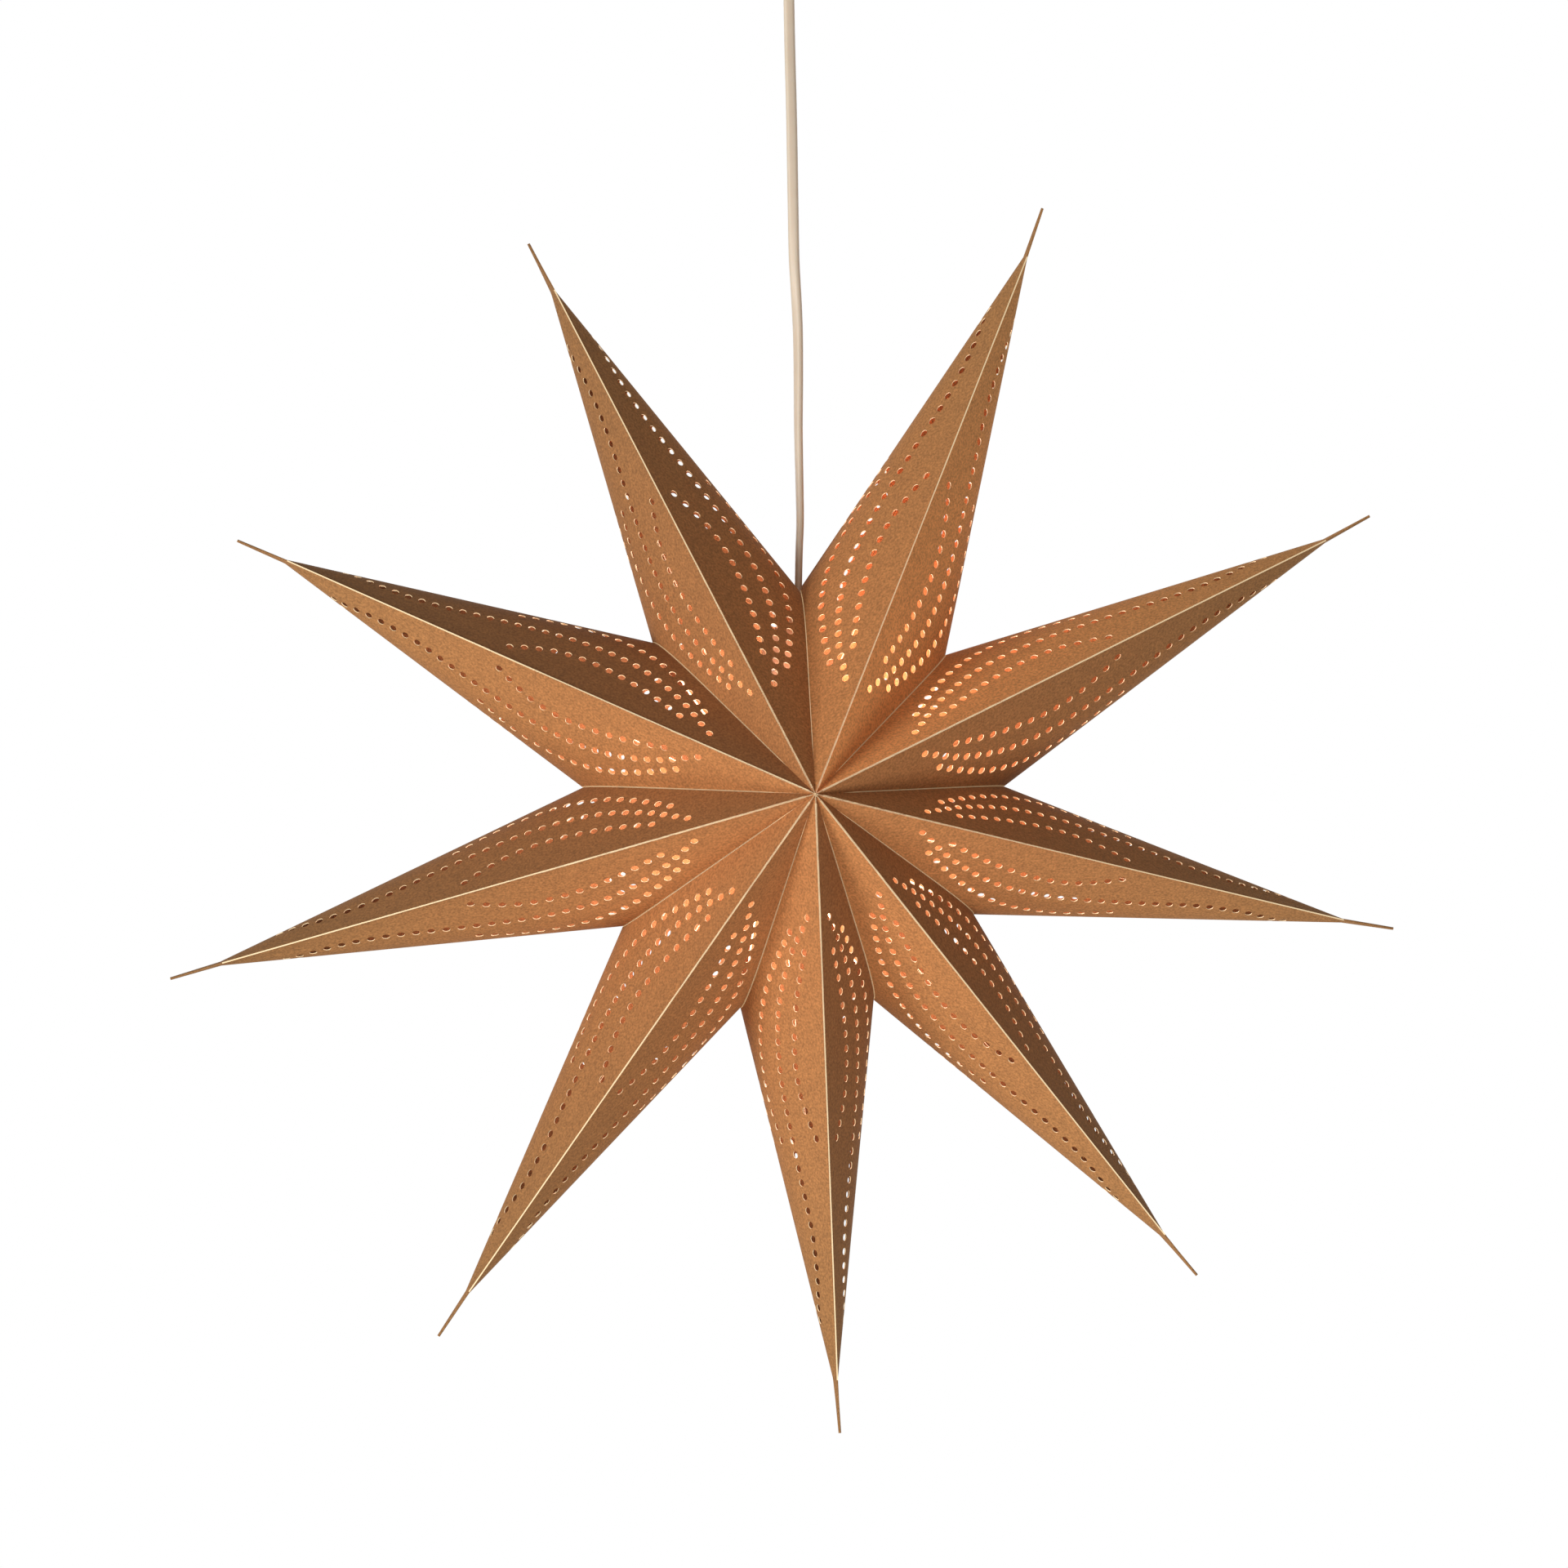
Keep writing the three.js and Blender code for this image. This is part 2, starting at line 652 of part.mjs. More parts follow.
function holderCap() {
  const centre = [capRadius - capRounding, capTop - capRounding];
  const hole = nippleShank + touchGap;
  return turned(closed([
    [capRadius - holderWall, capBottom], [capRadius, capBottom],
    ...arc(centre, capRounding, 0, 90, roundingSteps), [hole, capTop], [hole, capTop - holderWall],
    ...arc(centre, capRounding - holderWall, 90, 0, roundingSteps),
  ]));
}
placeInLamp('holder_cap', holderCap(), holderWhite);

// Skirt: screwed up inside the cap, with a collar under the cap's edge
function holderSkirt() {
  const top = capBottom + capHeight / 2;
  const collarTop = capBottom - touchGap;
  const inner = skirtRadius - holderWall;
  return turned(closed([
    [inner, skirtBottom], [skirtRadius - holderWall / 2, skirtBottom],
    [skirtRadius, skirtBottom + holderWall], [skirtRadius, collarTop - collarHeight],
    [collarRadius, collarTop - collarHeight], [collarRadius, collarTop],
    [skirtRadius, collarTop], [skirtRadius, top], [inner, top],
  ]));
}
placeInLamp('holder_skirt', holderSkirt(), holderWhite);

// Levels of the contacts, which follow the seated bulb
const bulbCapTop = bulbTop - tipContactHeight - insulatorHeight;
const bulbCapBottom = bulbCapTop - bulbCapLength + insulatorHeight;
const shellRadius = bulbCapRadius + threadGap;
const shellTop = bulbCapTop + touchGap;
const tongueBottom = bulbTop + touchGap;
const insertBottom = tongueBottom + tongueThickness + touchGap;

// Insulating insert inside the skirt, which carries the contacts
function socketInsert() {
  return turned([
    [0, insertBottom], [insertRadius, insertBottom], [insertRadius, insertBottom + insertHeight],
    [insertRadius / 2, insertBottom + insertHeight + holderWall],
    [0, insertBottom + insertHeight + holderWall],
  ], turnedSides / 2);
}
placeInLamp('socket_insert', socketInsert(), finish(0xcfc8b8, 0.7));

function screwShell() {
  const flange = insertRadius;
  const outer = shellRadius + shellWall;
  return turned(closed([
    [shellRadius, shellTop - shellLength], [outer, shellTop - shellLength],
    [outer, insertBottom - touchGap - shellWall], [flange, insertBottom - touchGap - shellWall],
    [flange, insertBottom - touchGap], [shellRadius, insertBottom - touchGap],
  ]), turnedSides / 2);
}
placeInLamp('screw_shell', screwShell(), brass);

// Springy tongue across the screw shell, which the bulb's tip presses on
function centreContact() {
  const room = 2 * Math.sqrt((shellRadius - 2 * touchGap) ** 2 - tongueWidth ** 2 / 4);
  const tongue = new THREE.BoxGeometry(Math.min(tongueLength, room), tongueWidth, tongueThickness);
  tongue.translate(0, 0, tongueBottom + tongueThickness / 2);
  return tongue;
}
placeInLamp('centre_contact', centreContact(), brass);

// Bulb: contact, insulator, screw cap, glass, stem and filament

function bulbTip() {
  const base = bulbTop - tipContactHeight + touchGap;
  const [middleShare, endShare] = tipContactShares;
  return turned([
    [0, base], [tipContactRadius, base], [tipContactRadius * middleShare, (base + bulbTop) / 2],
    [tipContactRadius * endShare, bulbTop], [0, bulbTop],
  ], smallSides);
}
placeInLamp('bulb_tip', bulbTip(), finish(0xbfc0bd, 0.3, 1));

function bulbInsulator() {
  const low = bulbCapTop + touchGap;
  const high = bulbTop - tipContactHeight;
  return turned([
    [0, low], [bulbCapRadius - bulbCapWall, low], [insulatorTopRadius, high], [0, high],
  ], turnedSides / 2);
}
placeInLamp('bulb_insulator', bulbInsulator(), finish(0x1d1b1a, 0.25));

// Screw cap: a thin rolled shell with one swelling a pitch
function bulbCap() {
  const outside = [];
  for (let turn = 0; turn < threadTurns; turn += 1) {
    const high = bulbCapTop - turn * threadPitch;
    outside.unshift([bulbCapRadius - threadDepth, high - threadPitch / 2]);
    outside.push([bulbCapRadius, high - threadPitch / 4]);
  }
  outside.sort((low, high) => low[1] - high[1]);
  const inner = bulbCapRadius - threadDepth - bulbCapWall;
  return turned(closed([
    [inner, bulbCapBottom], [bulbCapRadius, bulbCapBottom], ...outside,
    [bulbCapRadius - threadDepth, bulbCapTop], [inner, bulbCapTop],
  ]), turnedSides / 2);
}
placeInLamp('bulb_cap', bulbCap(), finish(0xc9c6bd, 0.3, 1));

const bulbCentre = bulbBottom + bulbRadius;

// Glass: a ball that runs into a neck, open where it is cemented into the cap
function bulbGlass() {
  const neckTop = bulbCapBottom - touchGap;
  const neckLow = neckTop - bulbNeckLength;
  const start = Math.asin(Math.min((neckLow - bulbCentre) / bulbRadius, 1)) / degrees;
  const inner = bulbRadius - glassWall;
  const stop = Math.min(start, glassShoulder);
  return turned([
    [0, bulbBottom], ...arc([0, bulbCentre], bulbRadius, -poleAngle, stop, ballSteps),
    [bulbNeckRadius, neckTop], [bulbNeckRadius - glassWall, neckTop],
    ...arc([0, bulbCentre], inner, stop, -poleAngle, ballSteps), [0, bulbBottom + glassWall],
  ]);
}
placeInLamp('bulb_glass', bulbGlass(), finish(0xfff1d8, 0.15));

// Stem: a flare fused inside the neck of the glass, with a rod down the middle
const flareRadius = bulbNeckRadius - glassWall - touchGap;
const flareTop = bulbCapBottom - touchGap;

function bulbStem() {
  const flareBottom = flareTop - flareHeight;
  return turned([
    [0, flareTop - stemLength], [stemRadius, flareTop - stemLength],
    [stemRadius, flareBottom - flareHeight], [flareRadius, flareBottom],
    [flareRadius, flareTop], [0, flareTop],
  ], smallSides);
}
placeInLamp('bulb_stem', bulbStem(), finish(0xe8ecec, 0.2));

// Filament with its two leads: down from the flare, out and round under the end of the stem
function filament() {
  const leadOut = (stemRadius + flareRadius) / 2;
  const leadTop = flareTop - 2 * flareHeight - touchGap;
  const middle = bulbCentre + filamentRise / 2;
  const half = filamentArchShares.map(([across, up]) => [
    across * filamentSpread, bulbCentre + up * filamentRise / 2]);
  const down = [[leadOut, leadTop], [leadOut, (leadTop + middle) / 2], [leadOut, middle], ...half];
  const back = down.slice(0, -1).reverse().map(([across, up]) => [-across, up]);
  const route = [...down, ...back].map(([across, up]) => new THREE.Vector3(across, 0, up));
  return roundTube(route, filamentRadius, cordSides, filamentSteps);
}
placeInLamp('bulb_filament', filament(), finish(0xffc067, 0.5));

export default group;
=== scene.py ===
# %% [markdown]
# # A paper star lantern
#
# Nine folded points of brown card stand round a small lamp, and their rows of punched holes let its
# light out. The star hangs on a flat twin flex from a ceiling cup. Each cell of this lesson makes
# one piece or one finish, in the order in which the real lantern could be put together.

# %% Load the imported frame
import math

import bmesh
import bpy
import numpy as np
from mathutils import Matrix, Vector


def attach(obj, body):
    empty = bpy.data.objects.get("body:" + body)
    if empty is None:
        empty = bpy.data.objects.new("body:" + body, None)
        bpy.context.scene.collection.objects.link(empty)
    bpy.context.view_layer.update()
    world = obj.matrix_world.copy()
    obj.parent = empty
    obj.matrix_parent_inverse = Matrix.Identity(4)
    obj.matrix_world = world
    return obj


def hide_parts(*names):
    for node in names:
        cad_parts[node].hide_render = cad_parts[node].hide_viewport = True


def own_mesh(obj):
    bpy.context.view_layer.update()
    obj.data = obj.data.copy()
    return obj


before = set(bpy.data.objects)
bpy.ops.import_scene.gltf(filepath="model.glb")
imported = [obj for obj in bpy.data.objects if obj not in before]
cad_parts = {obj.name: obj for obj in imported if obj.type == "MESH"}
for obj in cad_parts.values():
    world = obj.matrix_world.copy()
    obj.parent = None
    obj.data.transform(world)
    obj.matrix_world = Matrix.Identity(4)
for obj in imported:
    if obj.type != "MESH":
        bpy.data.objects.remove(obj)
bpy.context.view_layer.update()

# %% [markdown]
# ## Real sizes
#
# The rigid model and this scene share one frame, in metres, so the few sizes that carry the card
# points are written again here. The hub is where all nine points meet. A bearing is measured
# counter-clockwise from the right, as someone sees it who looks at the star's front.

# %% Sizes of the star, in metres and degrees
HUB = Vector((0.0024, 0, -0.450))
STAR_REACH = 0.300
NOTCH_REACH = 0.1006
HALF_DEPTH = 0.089
HUB_EYE = 0.0003
SIDE_BEND_SHARE = 0.45
FLAP_WIDTH = 0.010
FLAP_START = 0.008
PINCH_LENGTH = 0.025
SEAM_GAP = 0.00008
SLIT_GAP = 0.00001
SLIT_ANGLE = 1.6
FLEX_ROOM_ANGLE = 1.3
FLEX_ROOM_DEPTH = 0.0065
TIP_BEARINGS = (67.2, 26.5, -11.6, -49.3, -85.8, -123.7, -164, -204.8, -244.4)
NOTCH_BEARINGS = (44.2, 4.4, -31.8, -67.9, -104.5, -143.9, -183.7, -228.3, -271.3)
REACH_SHARES = (1.023, 1.027, 0.976, 0.984, 0.999, 1.015, 1.027, 0.972, 0.976)
TIP_BENDS = (3.9, 2.6, 3.3, 0, 0.5, 0.3, 0.9, 1.9, 1.9)
PAST_HUB = (0.0007, 0.0010, 0.0008, 0.0006, 0.0004, 0.0005, 0.0003, 0.0013, 0.0016)

# %% [markdown]
# ## Small helpers
#
# Colours are picked as sRGB hex values, and the shaders work in linear light, so one function turns
# the first into the second. Another adds a shader node with its settings and its links in one call.
# The edit helpers deselect everything first, because an operator acts on all that is selected.

# %% Colour and node helpers
def linear(hex_colour):
    """An sRGB hex colour as the linear RGBA that a socket takes."""
    shares = [int(hex_colour[k:k + 2], 16) / 255 for k in (0, 2, 4)]
    return (*[s / 12.92 if s <= 0.04045 else ((s + 0.055) / 1.055) ** 2.4 for s in shares], 1)


def add_node(tree, kind, sockets=None, **settings):
    """A shader node. sockets gives values, or other nodes' outputs, by socket name or number."""
    made = tree.nodes.new("ShaderNode" + kind)
    for name, value in settings.items():
        setattr(made, name, value)
    for name, value in (sockets or {}).items():
        if isinstance(value, bpy.types.NodeSocket):
            tree.links.new(value, made.inputs[name])
        else:
            made.inputs[name].default_value = value
    return made


def new_material(name):
    """An empty node tree of that material, and the material."""
    material = bpy.data.materials.new(name)
    material.use_nodes = True
    material.node_tree.nodes.clear()
    return material, material.node_tree


# %% Selecting and editing helpers
SAME_PLACE = 1e-6
CURVE_STEPS = 24


def start_clean():
    """Leaves edit mode with nothing selected."""
    if bpy.context.object and bpy.context.object.mode != "OBJECT":
        bpy.ops.object.mode_set(mode="OBJECT")
    bpy.ops.object.select_all(action="DESELECT")


def take(piece):
    """Leaves edit mode with only that piece selected."""
    start_clean()
    piece.select_set(True)
    bpy.context.view_layer.objects.active = piece


def edit(piece):
    """Opens one piece in edit mode with nothing in it selected."""
    take(piece)
    bpy.ops.object.mode_set(mode="EDIT")
    bpy.ops.mesh.select_all(action="DESELECT")


def pick(piece, kind, test):
    """Selects the verts, edges or faces of the open piece that pass the test."""
    bpy.ops.mesh.select_all(action="DESELECT")
    bpy.context.tool_settings.mesh_select_mode = [kind == k for k in ("verts", "edges", "faces")]
    shape = bmesh.from_edit_mesh(piece.data)
    for item in getattr(shape, kind):
        if test(item):
            item.select_set(True)
    bmesh.update_edit_mesh(piece.data)


def apply_modifier(piece, kind, **settings):
    """Adds a modifier and applies it at once."""
    take(piece)
    modifier = piece.modifiers.new(kind.title(), kind)
    for name, value in settings.items():
        setattr(modifier, name, value)
    bpy.ops.object.modifier_apply(modifier=modifier.name)


def smooth(piece, degrees=35):
    """Smooth shading up to an angle, after the last change to a piece's shape."""
    take(piece)
    bpy.ops.object.shade_smooth_by_angle(angle=math.radians(degrees))


def pick_rim(piece, test):
    """Selects the open edges of the open piece whose two corners both pass the test."""
    pick(piece, "edges", lambda e: e.is_boundary and all(test(v.co) for v in e.verts))


def extrude_to(piece, new_place, material_index=0):
    """Extrudes the selected edges of the open piece and moves each new corner to its new place."""
    bpy.ops.mesh.extrude_edges_move()
    shape = bmesh.from_edit_mesh(piece.data)
    for corner in (v for v in shape.verts if v.select):
        corner.co = new_place(corner.co)
    for edge in (e for e in shape.edges if e.select):
        edge.link_faces[0].material_index = material_index
    bmesh.update_edit_mesh(piece.data)


def link_up(name, data):
    """A new object of the scene that holds that data."""
    made = bpy.data.objects.new(name, data)
    bpy.context.scene.collection.objects.link(made)
    return made


def add_ring(drawing, places):
    """Adds a closed ring through (x, y) places to a curve."""
    ring = drawing.splines.new("POLY")
    ring.use_cyclic_u = True
    ring.points.add(len(places) - 1)
    for point, place in zip(ring.points, places):
        point.co = (*place, 0, 1)


def smooth_curve(points, count):
    """That many points, equally far apart, on a smooth line through the given ones."""
    points = np.array(points, float)
    ends = np.vstack([2 * points[0] - points[1], points, 2 * points[-1] - points[-2]])
    t = np.linspace(0, 1, CURVE_STEPS, endpoint=False)[:, None]
    fine = []
    for a, b, c, d in zip(ends, ends[1:], ends[2:], ends[3:]):
        fine.append(0.5 * (2 * b + (c - a) * t + (2 * a - 5 * b + 4 * c - d) * t ** 2
                           + (3 * b - a - 3 * c + d) * t ** 3))
    fine = np.vstack([*fine, points[-1:]])
    gone = np.concatenate([[0], np.cumsum(np.linalg.norm(np.diff(fine, axis=0), axis=1))])
    wanted = np.linspace(0, gone[-1], count)
    return np.stack([np.interp(wanted, gone, fine[:, k]) for k in range(points.shape[1])], axis=1)


def dress(piece, body, nodes, slot, *materials):
    """Gives a finished piece its materials, its moving body and the nodes it stands for."""
    for material in materials:
        piece.data.materials.append(material)
    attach(piece, body)
    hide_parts(*nodes)


# %% [markdown]
# ## Camera
#
# The photograph was taken from a little to the left and a little below, with a long lens, so that
# the star hardly narrows with distance. One pixel of the 1920 pixel picture covers 0.387 mm at the
# hub, which lies a little right of the middle and below it.

# %% Camera at the photograph's angle
CAMERA_AZIMUTH = math.radians(-6.5)
CAMERA_ELEVATION = math.radians(-2.5)
CAMERA_DISTANCE = 9.0
PIXEL = 0.000387
PICTURE_WIDTH = 1920
HUB_RIGHT_PIXELS = 12
HUB_BELOW_PIXELS = 22
SENSOR_WIDTH = 36

right = Vector((math.cos(CAMERA_AZIMUTH), math.sin(CAMERA_AZIMUTH), 0))
back = Vector((math.sin(CAMERA_AZIMUTH) * math.cos(CAMERA_ELEVATION),
               -math.cos(CAMERA_AZIMUTH) * math.cos(CAMERA_ELEVATION), math.sin(CAMERA_ELEVATION)))
up = back.cross(right)
aim = HUB - HUB_RIGHT_PIXELS * PIXEL * right + HUB_BELOW_PIXELS * PIXEL * up
camera_data = bpy.data.cameras.new("photo_camera")
camera_data.sensor_width = SENSOR_WIDTH
camera_data.lens = SENSOR_WIDTH * CAMERA_DISTANCE / (PICTURE_WIDTH * PIXEL)
camera_data.clip_end = 100
camera = link_up("photo_camera", camera_data)
camera.location = aim + CAMERA_DISTANCE * back
camera.rotation_euler = back.to_track_quat("Z", "Y").to_euler()
bpy.context.scene.camera = camera
print("camera lens:", round(camera_data.lens), "mm")

# %% [markdown]
# ## The flat twin flex
#
# Two insulated cores lie side by side in one off-white PVC sheath, 5.2 mm wide and 3.3 mm thick.
# The flex shows its flat side near the ceiling and its narrow side at the star, so it makes a
# quarter turn on the way down. A path whose points are tilted little by little, with the section of
# the flex as its bevel, gives both the route and the twist.

# %% PVC finish of the flex
def flex_finish():
    """Soft PVC sheath: smooth, slightly waxy, off-white."""
    material, tree = new_material("pvc_sheath_off_white")
    place = add_node(tree, "TexCoord").outputs["Object"]
    patch = add_node(tree, "TexNoise", {"Vector": place, "Scale": 90, "Detail": 3})
    tone = add_node(tree, "Mix", {
        0: patch.outputs["Fac"], 6: linear("f2e5d6"), 7: linear("e8d9c7")}, data_type="RGBA")
    grain = add_node(tree, "TexNoise", {"Vector": place, "Scale": 1600, "Detail": 2})
    bump = add_node(tree, "Bump", {
        "Height": grain.outputs["Fac"], "Strength": 0.08, "Distance": 0.0003})
    shader = add_node(tree, "BsdfPrincipled", {
        "Base Color": tone.outputs[2], "Normal": bump.outputs[0], "Roughness": 0.42, "IOR": 1.52,
        "Subsurface Weight": 0.6, "Subsurface Radius": (1.0, 0.85, 0.7), "Subsurface Scale": 0.003})
    add_node(tree, "OutputMaterial", {0: shader.outputs[0]})
    return material


pvc = flex_finish()

# %% Flex: route, section and quarter turn
FLEX_WIDTH = 0.0052
FLEX_THICKNESS = 0.0033
FLEX_STEPS = 90
FLEX_EDGE_STEPS = 10
TWIST_TOP = 0.10
TWIST_LENGTH = 0.25
FLEX_ROUTE = (  # right of the grip and below the ceiling, in millimetres
    (0, -54), (0, -63), (0.2, -76), (0.6, -95), (1.1, -114), (1.5, -133), (2, -163), (2.5, -190),
    (3.1, -202), (3.8, -214), (4.4, -229), (4.6, -251), (4.6, -273), (5.2, -303), (5.4, -317),
    (4.9, -332), (4.6, -347), (4.5, -355), (4.5, -364))

flex_line = smooth_curve([(x / 1000, 0, z / 1000) for x, z in FLEX_ROUTE], FLEX_STEPS)


def flex_section():
    """The flat outline with round edges, as a closed flat curve."""
    radius = FLEX_THICKNESS / 2
    centre = FLEX_WIDTH / 2 - radius
    corners = []
    for side in (1, -1):
        for k in range(FLEX_EDGE_STEPS + 1):
            angle = math.radians(-90 * side + 180 * k / FLEX_EDGE_STEPS)
            corners.append((side * centre + radius * math.cos(angle), radius * math.sin(angle)))
    drawing = bpy.data.curves.new("flex_section", "CURVE")
    add_ring(drawing, corners)
    return link_up("flex_section", drawing)


def make_flex():
    """The flex as a mesh, its flat side to the front at the top and its edge at the star."""
    drawing = bpy.data.curves.new("flex", "CURVE")
    drawing.dimensions = "3D"
    drawing.twist_mode = "MINIMUM"
    section = flex_section()
    drawing.bevel_mode = "OBJECT"
    drawing.bevel_object = section
    drawing.use_fill_caps = True
    path = drawing.splines.new("POLY")
    path.points.add(FLEX_STEPS - 1)
    for k, (point, place) in enumerate(zip(path.points, flex_line)):
        share = min(max((-place[2] - TWIST_TOP) / TWIST_LENGTH, 0), 1)
        point.co = (*place, 1)
        point.tilt = math.radians(90) * (1 + share * share * (3 - 2 * share))
    flex = link_up("flex", drawing)
    take(flex)
    bpy.ops.object.convert(target="MESH")
    bpy.data.objects.remove(section)
    smooth(flex, degrees=40)
    return flex


flex = make_flex()
dress(flex, "pendant", ["cord"], "flex_cream", pvc)
print("flex:", len(flex.data.vertices), "vertices, box",
      [round(x * 1000, 1) for x in flex.dimensions])

# %% [markdown]
# ## Card
#
# The card is unbleached kraft: matt, brown, with the fine mottle of its fibres. A painted glow of
# the lamp makes it warmer and lighter near the lamp and a little duller toward the tips, and each
# half sheet is painted lighter or darker, as painted light and shade. Its worn folds and the walls
# of the punched holes show the paler, yellowish core.

# %% Kraft card and its cut edge
def kraft_finish():
    """Unbleached kraft card: matt fibres, mottled in patches of one to six millimetres."""
    material, tree = new_material("kraft_card_uncoated")
    place = add_node(tree, "TexCoord").outputs["Object"]
    # Painted glow of the lamp: the card is made warmer and lighter near the hub and duller toward
    # the tips
    from_hub = add_node(tree, "VectorMath", {0: place, 1: HUB}, operation="DISTANCE")
    share = add_node(tree, "MapRange", {
        "Value": from_hub.outputs["Value"], "From Min": 0.05, "From Max": 0.30})
    body = add_node(tree, "Mix", {
        0: share.outputs[0], 6: linear("c4834f"), 7: linear("a87c4e")}, data_type="RGBA")
    patch = add_node(tree, "TexNoise", {
        "Vector": place, "Scale": 170, "Detail": 4, "Roughness": 0.6})
    mottle = add_node(tree, "MapRange", {
        "Value": patch.outputs["Fac"], "From Min": 0.3, "From Max": 0.7, "To Min": 0.93,
        "To Max": 1.06})
    fibre = add_node(tree, "TexNoise", {"Vector": place, "Scale": 900, "Detail": 3})
    fleck = add_node(tree, "MapRange", {
        "Value": fibre.outputs["Fac"], "From Min": 0.3, "From Max": 0.7, "To Min": 0.7,
        "To Max": 1.26})
    # Painted light and shade: a set amount by which each half sheet is made lighter or darker
    sheet = add_node(tree, "Attribute", attribute_name="painted_light_tone")
    painted_light_factor = add_node(tree, "Math", {0: sheet.outputs["Fac"], 1: 1.0}, operation="ADD")
    toned = body.outputs[2]
    for factor in (mottle, fleck, painted_light_factor):
        toned = add_node(tree, "VectorMath", {0: toned, "Scale": factor.outputs[0]},
                         operation="SCALE").outputs[0]
    bump = add_node(tree, "Bump", {
        "Height": fibre.outputs["Fac"], "Strength": 0.35, "Distance": 0.0003})
    shader = add_node(tree, "BsdfPrincipled", {
        "Base Color": toned, "Normal": bump.outputs[0], "Roughness": 0.82, "IOR": 1.45})
    add_node(tree, "OutputMaterial", {0: shader.outputs[0]})
    return material


def core_finish():
    """Cut or worn card: the pale core, with a painted glow for the lamp's light that comes through.
    """
    material, tree = new_material("card_core_cut")
    place = add_node(tree, "TexCoord").outputs["Object"]
    fibre = add_node(tree, "TexNoise", {"Vector": place, "Scale": 500, "Detail": 2})
    tone = add_node(tree, "Mix", {
        0: fibre.outputs["Fac"], 6: linear("ffe3b4"), 7: linear("fff2d2")}, data_type="RGBA")
    # The emission is a painted glow, as though the lamp's light came through the thin core
    shader = add_node(tree, "BsdfPrincipled", {
        "Base Color": tone.outputs[2], "Roughness": 0.85, "IOR": 1.45,
        "Emission Color": linear("ffdfb0"), "Emission Strength": 0.22})
    add_node(tree, "OutputMaterial", {0: shader.outputs[0]})
    return material


kraft = kraft_finish()
card_core = core_finish()

# %% [markdown]
# ## One sheet of card, drawn flat
#
# Each point of the star is one sheet, punched while it is flat and then folded. Half a point is
# enough to draw, because the other half is its mirror image. The half sheet reaches from the front
# ridge round the unfolded side to the back ridge. It's laid out on the drawing board by unfolding
# the strips between its straight rulings, one beside the other, with their true lengths.

# %% Seam and rulings of one half point
BEND_STEPS = 14
RIDGE_HALF = 0.0005
RIDGE_AT_PINCH = 0.0003
RIDGE_AT_HUB = 0.00005
RIDGE_FULL_FROM = 0.005
RIDGE_FULL_WITHIN = 0.002
WORN_SEAM = 0.0003
PINCH_HALF = 0.0010
TIP_HALF = 0.00065
TIP_HEIGHT = 0.0016

NIPPLE_ROOM_DEPTH = 0.010
NIPPLE_ROOM_TOP = 0.092
LAMP_ROOM_DEPTH = 0.020
LAMP_ROOM_TOP = 0.0835

seam_corner = NOTCH_REACH / (1 - SIDE_BEND_SHARE / 2)
flap_shift = FLAP_WIDTH * math.hypot(HALF_DEPTH, seam_corner) / HALF_DEPTH


def on_straight_seam(out):
    """Distance from the hub axis and depth of a place on the straight part of the front seam."""
    return np.array((out, -HALF_DEPTH * (1 - out / seam_corner)))


def seam_line():
    """The seam from the front apex round the side bend to the back one."""
    front = [on_straight_seam(HUB_EYE), on_straight_seam(FLAP_START + flap_shift)]
    start = on_straight_seam(seam_corner * (1 - SIDE_BEND_SHARE))
    t = np.linspace(0, 1, BEND_STEPS + 1)[:, None]
    bend = start * (1 - t) ** 2 + (seam_corner, 0) * (2 * t * (1 - t)) + start * (1, -1) * t ** 2
    rear = [place * (1, -1) for place in reversed(front)]
    return np.array([*front, *bend, *rear])


SEAM = seam_line()


def half_rings(reach, half_angle, side, bend, ridge_start=HUB_EYE):
    """Places of the mouth and of the start of the pinched end, from the front to the back ridge.

    The point lies along +X. side is 1 for its counter-clockwise half and -1 for the other one. Only
    a side at the slit has a half angle for each ruling."""
    out, depth = SEAM.T
    share = depth / HALF_DEPTH
    share[[0, -1]] = (-1, 1)
    at_slit = np.ndim(half_angle) > 0
    gap = SLIT_GAP if at_slit else SEAM_GAP
    mouth = np.stack([out * np.cos(half_angle) + gap * np.sin(half_angle), depth,
                      side * (out * np.sin(half_angle) - gap * np.cos(half_angle))], axis=1)
    ridge_depth = HALF_DEPTH * (1 - ridge_start / reach)
    mouth[0] = (ridge_start, -ridge_depth, side * RIDGE_AT_HUB)
    mouth[-1] = (ridge_start, ridge_depth, side * RIDGE_AT_HUB)
    pinch_reach = reach - PINCH_LENGTH
    offset = -PINCH_LENGTH * math.sin(math.radians(bend) * pinch_reach / reach)
    width = RIDGE_AT_PINCH + (PINCH_HALF - RIDGE_AT_PINCH) * (1 - np.abs(share))
    pinch = np.stack([pinch_reach * np.ones_like(share),
                      share * HALF_DEPTH * PINCH_LENGTH / reach, offset + side * width], axis=1)
    return mouth, pinch


def flap_ring(mouth, flap_angle, side, at_lamp):
    """Places of the glue flap's inner edge, at that angle from the point's middle."""
    out, depth = SEAM.T
    clear = np.full_like(out, FLAP_START)
    if at_lamp:
        clear = np.select([np.abs(depth) < NIPPLE_ROOM_DEPTH, np.abs(depth) < LAMP_ROOM_DEPTH],
                          [NIPPLE_ROOM_TOP, LAMP_ROOM_TOP], FLAP_START)
    inner = np.maximum(out - flap_shift, clear)
    ring = np.stack([inner * math.cos(flap_angle), depth,
                     side * inner * math.sin(flap_angle)], axis=1)
    ring[[0, -1]] = mouth[[0, -1]]
    return ring


